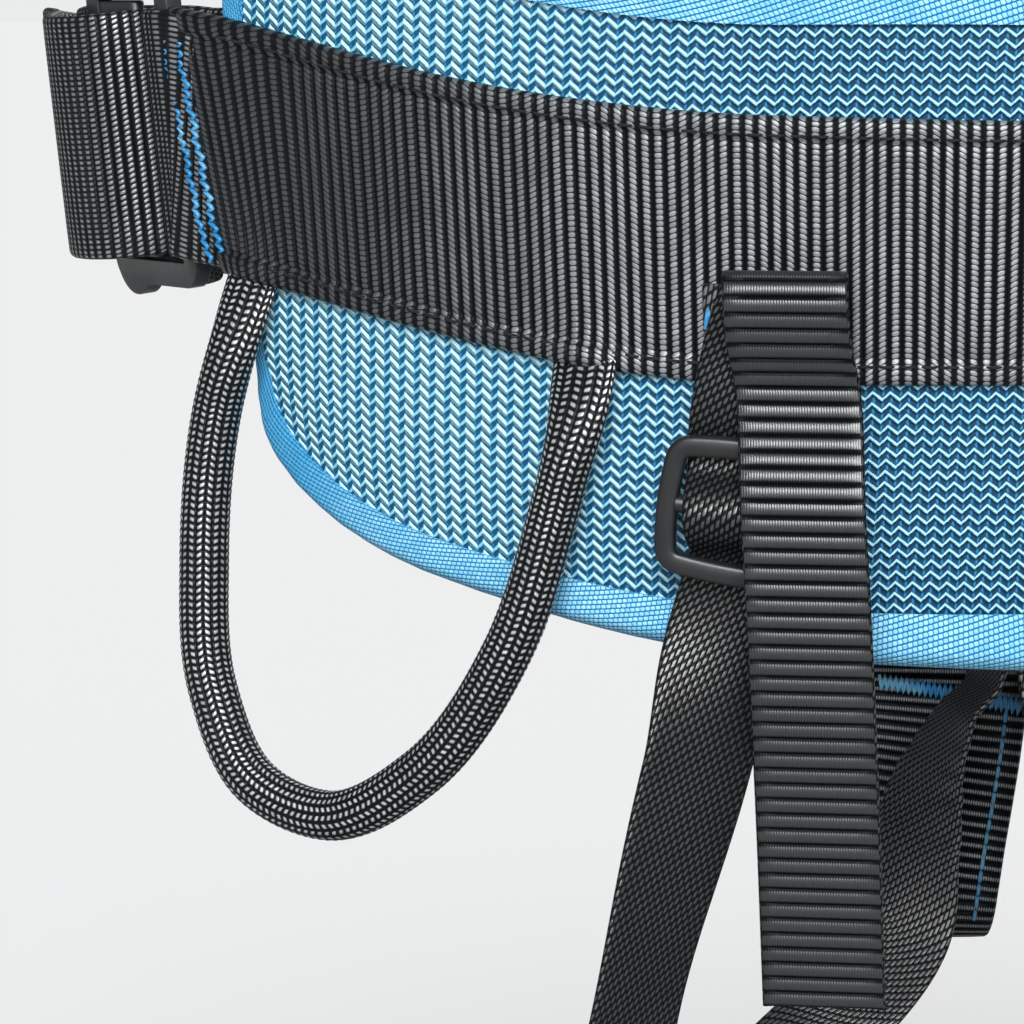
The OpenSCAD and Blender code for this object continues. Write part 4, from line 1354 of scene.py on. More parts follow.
@dataclass(frozen=True)
class PaddedLoop:
    """Pad with its bound edge and its face band, in its ring's own frame."""

    ring: Ring
    pad: Pad
    layers: Layers
    binding: float
    binding_taper: float
    band_height: float
    band_end: float
    hem: float = 4.0

    FOLLOW = 0.8
    STRETCH = 1.07
    RIB = 2.0
    SAMPLES = 7
    EASE_END = 22.0

    def edge_width(self, t: Array) -> Array:
        """Width of the bound edge at angle t."""
        return self.binding - self.binding_taper * np.abs(t)

    def layer(
        self, inset: float, r0: float, r1: float, drop0: float = 0.0, drop1: float = 0.0, puff: float = 0.0
    ) -> Skin:
        """Layer of the pad.

        Its two faces draw in towards their edges by the fourth power of the distance from the middle height.

        Args:
            inset: How far it stays inside the bound edge's seam; negative reaches under the edge.
            r0: Inner radius.
            r1: Outer radius.
            drop0: Draw-in of the inner face.
            drop1: Draw-in of the outer face.
            puff: Extra fullness of the outer face between its lower seam and the band.

        Returns:
            The surface, whose flat coordinates follow most of the middle line's climb.
        """
        share = np.sin(np.linspace(-0.5, 0.5, 201) * math.pi)
        full = share * self.pad.end
        edge = self.edge_width(full) + inset
        t = share * (self.pad.end - edge[-1] / float(self.ring.speed(self.pad.end)))
        low, high = self.pad.low(full) + edge, self.pad.high(full) - edge
        f = (1.0 - np.cos(np.linspace(0.0, math.pi, 36))) / 2.0
        z = mix(low[:, None], high[:, None], f)
        crown = np.abs(2.0 * f - 1.0) ** 4
        inner = np.broadcast_to(r0 - drop0 * crown, z.shape)
        full_low = puff * np.sin(math.pi * np.clip(f * 3.2, 0.0, 1.0))
        outer = np.broadcast_to(r1 - drop1 * crown + full_low, z.shape)
        angle = np.broadcast_to(t[:, None], z.shape)
        back, front = self.ring.point(angle, z, inner), self.ring.point(angle, z, outer)
        points = np.concatenate([back, front[:, ::-1]], 1)
        s = np.broadcast_to((self.ring.arc(t) * self.STRETCH)[:, None], z.shape)
        face = np.stack([s, z - self.FOLLOW * self.pad.mid(t)[:, None]], -1)
        flat = np.concatenate([face, face[:, ::-1]], 1)
        return Skin(points[None], np.concatenate([flat, flat[:, :1]], 1))

    def edge(self, thickness: float) -> Skin:
        """Bound edge: a tape folded round the pad's rim.

        Its section is half an ellipse that runs out into two flaps, with a slight ripple along the outer one.

        Args:
            thickness: Thickness of the pad.

        Returns:
            The surface.
        """
        share = np.sin(np.linspace(-0.5, 0.5, 401) * math.pi)
        t = share * self.pad.end
        width = self.edge_width(t)
        inner = share * (self.pad.end - width[-1] / float(self.ring.speed(self.pad.end)))
        up = np.linspace(0.0, 1.0, 60)[1:-1]
        low, high = self.pad.low(t), self.pad.high(t)

        def round_pad(below: Array, above: Array) -> Array:
            """Closed line along the lower edge, up one end, back along the upper edge and down."""
            ends = mix(below[-1], above[-1], up), mix(above[0], below[0], up)
            return ringed(np.concatenate([below, ends[0], above[::-1], ends[1]]))

        lines = [round_pad(*v) for v in ((t, t), (low, high), (inner, inner), (low + width, high - width))]
        run = travel(self.ring.arc(lines[0]), lines[1])
        s = np.linspace(0.0, run[-1], 901)
        rim_t, rim_z, seam_t, seam_z = (np.interp(s[:-1], run, v) for v in lines)
        bend = np.radians(np.linspace(-90.0, 90.0, 13))
        half = thickness / 2.0
        share = np.concatenate([[1.0, 0.75, 0.5], 0.36 * (1.0 - np.cos(bend)), [0.5, 0.75, 1.0, 1.0, 1.0]])
        flap = thickness + np.array([0.2, 0.3, 0.15, -0.6])
        r = np.concatenate([[-0.1, -0.25, -0.2], half + (half + 0.2) * np.sin(bend), flap, [0.6]])
        ripple = 0.12 * np.sin(s[:-1] * 0.9) * np.sin(s[:-1] * 0.23)
        weight = np.where(r > half, 1.0, 0.0) * (share < 0.9)
        points = self.ring.point(
            mix(rim_t[:, None], seam_t[:, None], share), mix(rim_z[:, None], seam_z[:, None], share),
            r[None, :] + ripple[:, None] * weight[None, :],
        )
        girth = travel(ringed(share) * self.binding, ringed(r))
        return Skin(points[None], grid(s, girth), looped=True)

    def parts(self, puff: float = 0.0) -> tuple[tuple[str, str, Skin], ...]:
        """Parts of the pad under the band.

        Args:
            puff: Extra fullness of the mesh.

        Returns:
            Name, kind and surface of each part.
        """
        build = self.layers
        return (
            ("lining", "cloth", self.layer(-1.2, 0.0, build.lining)),
            ("foam", "pad", self.layer(0.6, build.foam_r, build.foam_r + build.foam, 0.0, 1.2)),
            ("mesh", "knit", self.layer(-1.2, build.mesh_r, build.pad_r, 1.2, 1.0, puff)),
            ("binding", "tape", self.edge(build.pad_r)),
        )

    def end_shift(self, q: Array) -> Array:
        """How far the band's end reaches forward at height q over its lower edge: a slant, one corner cut."""
        return 2.5 + 0.15 * (q - self.band_height / 2.0) - 1.5 * smooth((7.0 - q) / 7.0)

    def band(self, top_dip: Callable[[Array], Array], bulge: Callable[[Array, Array], Array]) -> Skin:
        """Face band: ribbed cloth with a folded hem along both edges.

        The outer face rises by a rib (the square root of a half sine) every two millimetres, by the hem's
        thickness near both edges, and sinks along the hem's seam.

        Args:
            top_dip: How far the upper edge dips at an angle.
            bulge: Extra height of the outer face at an angle and a height above the lower edge.

        Returns:
            The surface.
        """
        length = float(self.ring.arc(self.band_end)) * 2.0
        ribs = round(length / self.RIB)
        s = np.linspace(-length / 2, length / 2, ribs * self.SAMPLES + 1)
        half = self.band_height / 2.0
        hem = self.hem
        low = np.array([0.0, 0.15, 0.5, 1.0, 2.0, 3.0, hem - 0.5, hem - 0.1, hem + 0.3, hem + 0.8])
        middle = np.linspace(hem + 2.5, self.band_height - hem - 2.5, 12)
        q = np.concatenate([low, middle, self.band_height - low[::-1]])
        side = np.minimum(q, self.band_height - q)
        raised = self.layers.hem * (1.0 - smooth((side - hem + 0.4) / 0.8))
        rim = np.sqrt(np.clip(1.0 - (1.0 - np.clip(side, 0.0, 1.0)) ** 2, 0.0, 1.0))
        seam = -0.35 * hump(side - hem, 0.5)
        ridge = np.sqrt(np.abs(np.sin(math.pi * (s + length / 2) / (length / ribs)))) - 0.7
        strength = 0.3 * smooth(side / 1.2) * np.where(side < hem, 0.55, 1.0)
        face = self.layers.band_r + (self.layers.band + raised) * rim + seam
        back = np.linspace(1.0, 0.0, 6)[1:-1] * self.band_height
        height = np.concatenate([q, back])
        near_end = smooth((np.abs(s) - length / 2 + self.EASE_END) / self.EASE_END) * np.sign(s)
        t = self.ring.angle(s[:, None] + near_end[:, None] * self.end_shift(height)[None, :])
        z = self.pad.mid(t) - half + height[None, :] * (1.0 - top_dip(t) / self.band_height)
        outer = face[None, :] + ridge[:, None] * strength[None, :] + bulge(t[:, : len(q)], q[None, :])
        r = np.concatenate([outer, np.full((len(s), len(back)), self.layers.band_r)], 1)
        v = np.concatenate([q, self.band_height * 2.0 + 0.5 - back, [2 * self.band_height + 1.0]])
        u = (s + length / 2) * self.RIB * ribs / length
        return Skin(self.ring.point(t, z, r)[None], grid(u, v))


WAIST_LOOP = PaddedLoop(WAIST, BACK_PAD, WAIST_LAYERS, 10.0, 0.09, 43.5, 60.0)
LEG_LOOP = PaddedLoop(LEG, LEG_PAD, LEG_LAYERS, 8.0, 0.0, 30.0, 114.0)
WAIST_WEBBING = Weave(42.0, 2.0, pitch=1.8)
LEG_WEBBING = Weave(25.0, 2.0, pitch=1.8)
ELASTIC = Weave(12.0, 1.0, Ribbed.NONE, 1.4, columns=8)
BUCKLE_ANGLE = 72.5
LEG_BUCKLE_GAP = 27.5
GEAR_ENDS = (56.0, 30.0)


@dataclass(frozen=True)
class Threading:
    """Webbing through a buckle that sits on a ring."""

    ring: Ring
    pad: Pad
    angle: float
    strand: float = 3.0
    loop_turn: float = -15.6
    strap_turn: float = -7.1
    seat: float = 6.0
    webbing: float = 2.0
    rise: float = 0.0

    FOLD = np.array([
        [29.0, 0.34], [23.0, 0.62], [17.0, 0.87], [11.0, 1.0], [5.0, 0.97], [0.6, 0.81], [-1.9, 0.56],
        [-2.9, 0.31], [-3.1, 0.13],
    ])
    KEEPER_ROOM = 2.5
    KEEPER_SIDE = 1.5
    KEEPER_CORNER = 1.2

    @property
    def place(self) -> Site:
        """Site of the buckle's middle."""
        return Site.on(self.ring, self.angle, float(self.pad.mid(self.angle)), self.seat)

    @property
    def leave(self) -> float:
        """Angle at which the webbing starts to settle on the ring."""
        return self.angle + 30.0 / float(self.ring.speed(self.angle))

    @property
    def span(self) -> float:
        """Angle over which the webbing settles."""
        return 0.26 * self.ring.half_width / float(self.ring.speed(90.0))

    def settle(self, t: Array) -> Array:
        """Height that is left of the buckle's stand-off at angle t."""
        stand_off = 26.0**2 / (2.0 * self.ring.bend(self.angle))
        return stand_off * (1.0 - smooth((t - self.leave) / self.span))

    def inner(self, t: Array) -> Array:
        """Distance of the inner run from the ring."""
        return self.seat - self.strand + self.settle(t)

    def outer(self, t: Array) -> Array:
        """Distance of the tail from the ring."""
        near = smooth((t - self.leave) / (0.8 * self.span))
        return self.inner(t) + mix(2.0 * self.strand, self.webbing + 0.5, near)

    def ring_path(self, t: Array, r: Array, z: Array | None = None) -> Path:
        """Stations on the ring."""
        t = np.asarray(t, float)
        return Path(self.ring.point(t, self.pad.mid(t) if z is None else z, r), self.ring.up(t))

    def straight(self, s: Array, h: Array) -> Path:
        """Stations along the buckle at a height."""
        s = np.asarray(s, float)
        return Path(self.place.at(s, h), np.broadcast_to(self.place.up, (len(s), 3)))

    def turn(self, s: float, angles: Array) -> Path:
        """Stations round a bar at s.

        Args:
            s: Place of the bar along the buckle.
            angles: Angles round it in degrees.

        Returns:
            The stations.
        """
        a = np.radians(np.asarray(angles, float))
        return Path(
            self.place.at(s + self.strand * np.cos(a), self.strand * np.sin(a)),
            np.broadcast_to(self.place.up, (len(a), 3)),
        )

    def strap(self, tail: float, last: float, count: int) -> Path:
        """Tail, turn round the slider and inner run up to the angle last.

        Args:
            tail: Angle of the tail's end.
            last: Angle at which the inner run ends.
            count: Steps of the inner run.

        Returns:
            The line.
        """
        out, back = np.linspace(tail, self.leave, 10), np.linspace(self.leave, last, count + 1)
        if self.rise:
            fold = self.straight(self.strap_turn + self.FOLD[:, 0], self.rise * self.FOLD[:, 1])
            first = 180.0
        else:
            fold, first = self.straight(np.linspace(22.0, self.strap_turn, 4), self.strand), 108.0
        return Path.joined(
            self.ring_path(out, self.outer(out)),
            fold,
            self.turn(self.strap_turn, np.linspace(first, 252.0, 7)),
            self.straight(np.linspace(self.strap_turn, 22.0, 4), -self.strand),
            self.ring_path(back, self.inner(back)),
        )

    def loop(self, near: Array, over: Array, pad_edge: float) -> Path:
        """Short loop round the buckle's back bar, sewn to the end of the band.

        Args:
            near: Angles of its sewn end.
            over: Distances of that end from the ring.
            pad_edge: Angle of the pad's end.

        Returns:
            The line.
        """
        far = np.array([pad_edge + 2.8, pad_edge + 0.5])
        level = np.full(2, float(self.pad.mid(self.angle)))
        return Path.joined(
            self.ring_path(near, over),
            self.straight(np.linspace(-20.0, self.loop_turn, 3), self.strand),
            self.turn(self.loop_turn, np.linspace(72.0, -72.0, 7)),
            self.straight(np.linspace(self.loop_turn, -20.0, 3), -self.strand),
            self.ring_path(far, np.full(2, over[0] * 0.55), level),
        )

    def keeper(self, where: float, width: float) -> Path:
        """Closed line of an elastic keeper round both runs.

        Args:
            where: Angle.
            width: Width of the webbing.

        Returns:
            The line, a rectangle with round corners.
        """
        low = float(self.inner(where)) - self.KEEPER_ROOM
        high = float(self.outer(where)) + self.KEEPER_ROOM
        half = width / 2.0 + self.KEEPER_SIDE
        climb = float(self.pad.mid(where + 1.0) - self.pad.mid(where - 1.0))
        across = unit(self.ring.tangent(where) + climb / (2.0 * float(self.ring.speed(where))) * UP)
        corners = np.array([[low, -half, 180.0], [high, -half, 270.0], [high, half, 0.0], [low, half, 90.0]])
        a = np.radians(corners[:, 2:] + np.array([0.0, 30.0, 60.0, 90.0]))
        soft = self.KEEPER_CORNER
        into = np.array([[1.0, 1.0], [-1.0, 1.0], [-1.0, -1.0], [1.0, -1.0]]) * soft
        r = (corners[:, :1] + into[:, :1] + soft * np.cos(a)).ravel()
        w = (corners[:, 1:2] + into[:, 1:] + soft * np.sin(a)).ravel()
        site = Site.on(self.ring, where, float(self.pad.mid(where)), 0.0)
        side = np.cross(across, site.out)
        centres = site.origin + r[:, None] * site.out - w[:, None] * side
        return Path(centres, np.broadcast_to(across, centres.shape), closed=True)


def softened(name: str, node: str, width: float, finish: bpy.types.Material) -> bpy.types.Object:
    """Copy of a hard CAD node with rounded edges.

    Args:
        name: Name of the piece.
        node: CAD node.
        width: Rounding.
        finish: Material.

    Returns:
        The object.
    """
    mesh = bpy.data.meshes.new(name)
    work = bmesh.new()
    work.from_mesh(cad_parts[node].data)
    bmesh.ops.remove_doubles(work, verts=work.verts, dist=1e-6)
    bmesh.ops.dissolve_limit(work, angle_limit=math.radians(1.0), verts=work.verts, edges=work.edges)
    work.to_mesh(mesh)
    work.free()
    mesh.materials.clear()
    mesh.materials.append(finish)
    mesh.polygons.foreach_set("material_index", np.zeros(len(mesh.polygons), np.int32))
    mesh.polygons.foreach_set("use_smooth", np.ones(len(mesh.polygons), bool))
    obj = new_object(name, mesh)
    bevel = obj.modifiers.new("round", "BEVEL")
    bevel.width, bevel.segments = width * MM, 3
    bevel.limit_method, bevel.angle_limit = "ANGLE", math.radians(40.0)
    bevel.harden_normals = True
    return obj


@dataclass
class Part:
    """Part of the harness, made with the shared finishes."""

    looks: Wardrobe

    FOAM_FILL = 0.9
    FRAME_ROUND = 0.7
    SLIDER_ROUND = 0.4

    def add(
        self, name: str, skins: Sequence[Skin], finish: str, body: str, slot: str, *nodes: str
    ) -> bpy.types.Object:
        """Makes a piece and puts it on its body.

        Args:
            name: Name of the piece.
            skins: Surfaces in millimetres.
            finish: Name of its finish.
            body: Body it rides on.
            slot: Not used; it is passed on to fit, which ignores it.
            nodes: CAD nodes it stands for.

        Returns:
            The piece.
        """
        return fit(make_piece(name, skins, [self.looks[finish]]), body, slot, *nodes)

    def add_pad(self, parts: Sequence[tuple[str, str, Skin]], node: str, body: str) -> None:
        """Makes the parts of a pad, each with the finish of its own name.

        Args:
            parts: Name, kind and surface of each part.
            node: Name of the CAD nodes, with braces for the part's name.
            body: Body they ride on.
        """
        for part, kind, skin in parts:
            name = node.format(part)
            piece = self.add(f"{name}.{kind}", [skin], part, body, part, name)
            part == "foam"

    def add_buckle(self, kind: str, side: Side, body: str, keeper: Path) -> None:
        """Makes a buckle's frame and locking bar and the keeper of its webbing.

        Args:
            kind: Start of the names.
            side: Side of the wearer.
            body: Body that the frame rides on.
            keeper: Line of the keeper.
        """
        tag = side.tag
        hard = (("frame", self.FRAME_ROUND, body), ("slider", self.SLIDER_ROUND, f"{kind}_slide_{tag}"))
        for part, rounding, rides in hard:
            node = f"{kind}_{part}_{tag}"
            fit(softened(f"{node}.metal", node, rounding, self.looks["metal"]), rides, "buckle_metal", node)
        node, skin = f"{kind}_keeper_{tag}", ELASTIC.cloth(keeper)
        self.add(f"{node}.elastic", [skin], "elastic", f"{kind}_keep_{tag}", "elastic", node)


@dataclass
class WaistBelt(Part):
    """Pad, load band and waist webbing."""

    loop: Threading = Threading(WAIST, BACK_PAD, BUCKLE_ANGLE, rise=12.5)

    PUFF = 0.6
    TAIL_END = 128.0
    FRONT = 180.0
    HEM_END = 57.0
    STITCH = 2.6
    STITCH_STEP = 3.3
    STITCH_IN = 3.2
    THREAD = 0.24

    def build(self) -> None:
        """Makes every piece of the belt."""
        self.add_pad(WAIST_LOOP.parts(self.PUFF), "back_{}", "belt")
        band = WAIST_LOOP.band(self.top_dip, self.bulge)
        self.add("load_band.cloth", [band], "band", "belt", "face_fabric", "load_band")
        self.add("load_band.stitching", self.hem_rows(), "black_thread", "belt", "face_fabric")
        half = self.loop.strap(self.TAIL_END, self.FRONT, 20)
        other = half.sided(Side.RIGHT).turned_back()
        strap = WAIST_WEBBING.cloth(Path.joined(half, Path(other.centres[1:], -other.across[1:])))
        self.add("waist_strap.webbing", [strap], "webbing", "belt", "webbing", "waist_strap")

    def hem_rows(self) -> list[Skin]:
        """Rows of stitches along both hems.

        Returns:
            The surfaces.
        """
        reach = float(WAIST.arc(self.HEM_END))
        t = WAIST.angle(np.arange(-reach, reach, self.STITCH_STEP))
        r, half = WAIST_LAYERS.hem_outer + 0.15, WAIST_LOOP.band_height / 2
        slope = (belt_lift(t + 0.5) - belt_lift(t - 0.5)) / WAIST.speed(t)
        along = unit(WAIST.tangent(t) + slope[:, None] * UP)
        low = belt_lift(t) - half + self.STITCH_IN
        high = belt_lift(t) + half - self.top_dip(t) - self.STITCH_IN
        lines = [WAIST.point(t, z, r) for z in (low, high)]
        return [stitches(line, along, WAIST.out(t), self.STITCH, self.THREAD) for line in lines]

    def top_dip(self, t: Array) -> Array:
        """Dip of the band's upper edge, mostly in the middle of the back."""
        return 0.6 * hump(t, 9.0) + 0.3 * np.sin(np.radians(t * 11.0))

    def bulge(self, t: Array, q: Array) -> Array:
        """Swelling of the lower hem over the ends of the gear loops."""
        over = sum(hump(np.abs(t) - a, 2.4) for a in GEAR_ENDS)
        return over * 1.6 * (1.0 - smooth((q - 1.0) / 7.0))


@dataclass
class WaistBuckle(Part):
    """Buckle of the waist webbing on one side, with the loop that holds it and the tail's keeper."""

    side: Side
    loop: Threading = Threading(WAIST, BACK_PAD, BUCKLE_ANGLE)

    TURNS = 24
    THREAD = 0.4
    SEWN_AT = np.array([55.8, 58.0, 60.0, 61.3])
    SEWN_IN = np.array([1.7, 1.6, 1.3, 0.7])
    KEEPER = 113.0
    KEEPER_WIDTH = 43.0

    def build(self) -> None:
        """Makes every piece of the buckle."""
        node = f"waist_loop_{self.side.tag}"
        path = self.loop.loop(self.SEWN_AT, WAIST_LAYERS.band_outer - self.SEWN_IN, BACK_PAD.end)
        skin = WAIST_WEBBING.cloth(path.sided(self.side))
        self.add(f"{node}.webbing", [skin], "webbing", "belt", "webbing", node)
        rows = [self.zigzag(-1.2, 1.3), self.zigzag(1.9, 1.1)]
        self.add(f"{node}.stitching", rows, "blue_thread", "belt", "webbing")
        keeper = self.loop.keeper(self.KEEPER, self.KEEPER_WIDTH)
        self.add_buckle("waist", self.side, "belt", keeper.sided(self.side))

    def zigzag(self, beyond: float, size: float) -> Skin:
        """Zig-zag seam along the band's slanting end.

        Args:
            beyond: Distance past the band's end.
            size: Swing.

        Returns:
            The surface.
        """
        f = np.linspace(0.0, 1.0, self.TURNS * 6 + 1)
        swing = triangle(f * self.TURNS) + 0.5 * np.sin(f * 41.0)
        q = mix(1.5, WAIST_LOOP.band_height - 1.5, f)
        reach = WAIST_LOOP.end_shift(q) + beyond + swing * size / 2
        t = WAIST.angle(WAIST.arc(WAIST_LOOP.band_end) + reach)
        r = WAIST_LAYERS.band_outer + 0.3 + (0.3 if beyond > 0.0 else 0.0)
        line = WAIST.point(t, belt_lift(t) - WAIST_LOOP.band_height / 2 + q, r)
        return tubes(self.side.place(line)[None], self.side.place(WAIST.out(t))[None], self.THREAD)


@dataclass
class GearLoop(Part):
    """Gear loop on one side: a braided sleeve over a stiff core, its ends flattened under the hem."""

    side: Side
    diameter: float = 8.5
    front: float = GEAR_ENDS[0]
    back: float = GEAR_ENDS[1]
    drop: float = 84.0
    columns: int = 18
    column: float = 1.48
    strand: float = 1.2

    CORE = 2.6
    BRAID = 0.22
    TUCK_UP = 7.5
    TUCK_IN = 3.4
    BENDS = (-2.0, 12.0)
    ROUTE = np.array([
        [0.0, 0.0], [-0.085, 0.21], [-0.124, 0.5], [-0.1, 0.76], [0.025, 0.94], [0.26, 1.0], [0.532, 0.9],
        [0.788, 0.65], [0.925, 0.37], [1.0, 0.0],
    ])

    def end(self, t: float) -> Array:
        """Middle of the sleeve where it meets the hem at angle t."""
        z = float(belt_lift(t)) - WAIST_LOOP.band_height / 2 - 0.5 - self.diameter / 2
        return WAIST.point(t, z, WAIST_LAYERS.pad_r + 0.5 + self.diameter / 2)

    def line(self) -> Path:
        """Line of the loop, both ends tucked under the hem.

        Returns:
            The line, its width direction square to the loop's plane.
        """
        start, stop = self.end(self.front), self.end(self.back)
        flat = (stop - start) * np.array([1.0, 1.0, 0.0])
        route = self.ROUTE.copy()
        route[-1, 1] = -(stop[2] - start[2]) / self.drop
        centres = start + route[:, :1] * flat - route[:, 1:] * self.drop * UP
        ends = ((start, self.front), (stop, self.back))
        tucks = [p + self.TUCK_UP * UP - WAIST.out(t) * self.TUCK_IN for p, t in ends]
        centres = np.concatenate([tucks[:1], centres, tucks[1:]])
        return Path(centres, np.broadcast_to(unit(np.cross(flat, UP)), centres.shape))

    def build(self) -> None:
        """Makes the sleeve and the core."""
        path, tag = self.line(), self.side.tag
        start, stop = self.end(self.front), self.end(self.back)
        chord, middle = unit(stop - start), (start + stop) / 2
        down = unit(np.cross(chord, np.cross(-UP, chord)))
        span = tuple(self.side.place(middle + down * d) for d in self.BENDS)
        bodies = ("belt", f"gear_{tag}")
        sleeve = self.tube(path.run(0.32), self.diameter / 2.0 - 0.1, self.BRAID)
        piece = make_piece(f"gear_loop_{tag}.braid", [sleeve], [self.looks["braid"]])
        fit_between(piece, bodies, span, "sleeve", f"gear_loop_{tag}")
        core = self.tube(path.run(2.0), self.CORE, 0.0)
        piece = make_piece(f"gear_core_{tag}.rod", [core], [self.looks["core"]])
        fit_between(piece, bodies, span, "core", f"gear_core_{tag}")

    def tube(self, run: Run, radius: float, relief: float) -> Skin:
        """Sleeve surface: a circle swept along the loop that flattens towards both ends.

        The braid raises the surface by the relief times the product of a column wave round the sleeve and a
        strand wave along it, the strands shifted in a chevron between neighbouring columns.

        Args:
            run: Line of the loop.
            radius: Radius of the sleeve.
            relief: Height of the braid.

        Returns:
            The surface.
        """
        sides = 54 if relief else 14
        a = np.linspace(0.0, 2.0 * math.pi, sides, endpoint=False)
        near = np.minimum(run.s, run.length - run.s)
        flat = smooth((near - 3.0) / 20.0)
        thick = mix(1.1, radius, flat)
        wide = radius * mix(np.where(run.s < run.length / 2, 1.2, 1.42), 1.0, flat)
        v = a / (2.0 * math.pi) * self.columns
        column = 1.0 - (2.0 * (v % 1.0) - 1.0) ** 2
        chevron = np.abs(2.0 * ((v / 2.0) % 1.0) - 1.0)
        strand = np.sin(math.pi * ((run.s[:, None] / self.strand + 0.45 * chevron[None, :]) % 1.0))
        rise = relief * (column[None, :] * strand - 0.5) * mix(0.4, 1.0, flat)[:, None]
        x = np.cos(a)[None, :] * (wide[:, None] + rise)
        y = np.sin(a)[None, :] * (thick[:, None] + rise)
        girth = np.linspace(0.0, self.columns * self.column, sides + 1)
        return Skin(self.side.place(run.sweep(y, x))[None], grid(run.s, girth))


@dataclass
class Riser(Part):
    """Rear riser on one side: anchor loop, glide and strap with its folded tail.

    UNDER, OVER, BEHIND, GLIDE and ON_HEM are distances from the belt's wall: of the anchor's two runs, the
    strap behind the glide, the glide and the anchor on the hem. WRAP and RIDE are the radii at which anchor
    and strap turn round the glide's bar. HALF, WINDOW and RAIL are the glide's half height, half opening and
    rail. Above the height TAIL_FROM the strap stays with the belt. TAIL gives the hanging tail's stations:
    sideways, outwards and as a share of the drop.
    """

    side: Side
    height: float = -41.0
    tilt: float = -8.0
    foot_angle: float = -43.0
    drop: float = 119.0

    ANCHOR = Weave(20.0, 1.0, Ribbed.NONE, 1.5)
    STRAP = Weave(20.4, 1.2, Ribbed.INNER, 2.65, 0.5, samples=9, bevel=0.55, two_faced=True)
    TAIL = np.array([
        [-7.6, -1.2, 0.06], [-8.6, -3.8, 0.13], [-9.0, -3.0, 0.165], [-9.9, 1.6, 0.27], [-10.5, 2.0, 0.38],
        [-11.1, -2.6, 0.73], [-11.0, -7.5, 1.0],
    ])
    UNDER = 9.85
    OVER = 11.1
    BEHIND = 12.7
    GLIDE = 14.95
    ON_HEM = 12.3
    WRAP = 2.25
    RIDE = 3.6
    HALF = 11.547
    WINDOW = 11.0
    RAIL = 3.5
    TAIL_FROM = -16.0
    ANGLE = 19.5
    BENDS = np.array([[66.0, 104.0, -75.0], [76.0, 100.0, -185.0]])

    @property
    def site(self) -> Site:
        """Site of the riser on the belt."""
        return Site.on(WAIST, self.ANGLE, 0.0, 0.0)

    def path(self, s: Array, h: Array, v: Array) -> Path:
        """Stations at sideways, outward and upward distances."""
        p = self.site.at(s, h, v)
        return Path(p, np.broadcast_to(self.site.along, p.shape))

    def round_bar(self, radius: float, angles: Array) -> Path:
        """Stations round the glide's middle bar."""
        a = np.radians(np.asarray(angles, float))
        return self.path(np.zeros_like(a), self.GLIDE + radius * np.cos(a), self.height + radius * np.sin(a))

    def anchor_path(self) -> Path:
        """Line of the anchor: over the hem, round the middle bar and back under the band.

        Returns:
            The line.
        """
        over = self.GLIDE + 2.0 * self.WRAP * math.sin(math.radians(45.0)) - self.OVER
        top = np.array([
            [self.ON_HEM, -4.0], [self.ON_HEM, -22.25], [self.OVER + 0.4, -25.75],
            [self.OVER, self.height + over + 2.0], [self.OVER, self.height + over],
        ])
        low = np.array([
            [mix(self.UNDER, self.GLIDE - self.WRAP, 0.25), self.height + over * 0.62],
            [self.UNDER, self.height + over], [self.UNDER, -23.25],
        ])
        return Path.joined(
            self.path(self.slant(top[:, 1]), top[:, 0], top[:, 1]),
            self.round_bar(self.WRAP, np.linspace(45.0, -180.0, 10)),
            self.path(self.slant(low[:, 1]), low[:, 0], low[:, 1]),
        )

    def slant(self, v: Array) -> Array:
        """Sideways shift of the anchor as it climbs from the glide to the band."""
        return -2.7 * smooth((v - self.height - 8.0) / 14.0)

    def strap_path(self) -> Path:
        """Line of the strap: from the leg band through the glide to the fold and down the tail.

        Returns:
            The line.
        """
        ride = self.GLIDE + 2.0 * self.RIDE * math.sin(math.radians(45.0)) - self.BEHIND
        sewn = LEG_LAYERS.hem_outer + 0.85
        foot = Path(
            LEG.point(self.foot_angle, np.array([-8.0, 16.0, 31.0]), np.array([sewn, sewn, sewn + 2.0])),
            np.broadcast_to(LEG.tangent(self.foot_angle), (3, 3)),
        ).placed(ON_LEG)
        turn = np.radians(np.array([32.0, 40.0, 22.0]))
        low = np.array([[77.0, 100.0, -165.0], [70.0, 104.0, -125.0]])
        rise = Path(
            np.concatenate([low, self.site.at(8.6, self.BEHIND + 3.0, -82.0)[None]]),
            np.stack([np.cos(turn), np.sin(turn), np.zeros(3)], -1),
        )
        below = self.path(
            np.array([1.8, 0.0]), np.array([self.BEHIND - 0.75, self.BEHIND]),
            np.array([self.height - self.HALF - 1.0, self.height - ride]),
        )
        on = self.ON_HEM + 0.5
        above = self.path(
            np.array([0.0, -0.2, -0.8, -3.0, -5.4]),
            np.array([self.BEHIND, self.BEHIND, on + 1.05, on + 1.45, on + 2.6]),
            np.array([self.height + ride, self.height + self.HALF + 0.5, -24.75, -14.0, -6.0]),
        )
        turned = np.array([30.0, 60.0, 90.0, 120.0, 150.0])
        a = np.radians(turned)
        fold = self.path(-6.6 - turned / 250.0, self.ON_HEM + 5.0 - 2.2 * np.cos(a), -3.6 + 2.2 * np.sin(a))
        out = self.GLIDE + self.RIDE + 1.45
        hang = self.path(self.TAIL[:, 0], out + self.TAIL[:, 1], -5.0 - self.drop * self.TAIL[:, 2])
        ridden = self.round_bar(self.RIDE, np.linspace(-45.0, 45.0, 5))
        return Path.joined(foot, rise, below, ridden, above, fold, hang, square=False)

    def build(self) -> None:
        """Makes every piece of the riser."""
        tag = self.side.tag
        run = self.ANCHOR.run(self.anchor_path().sided(self.side))
        node = f"riser_anchor_{tag}"
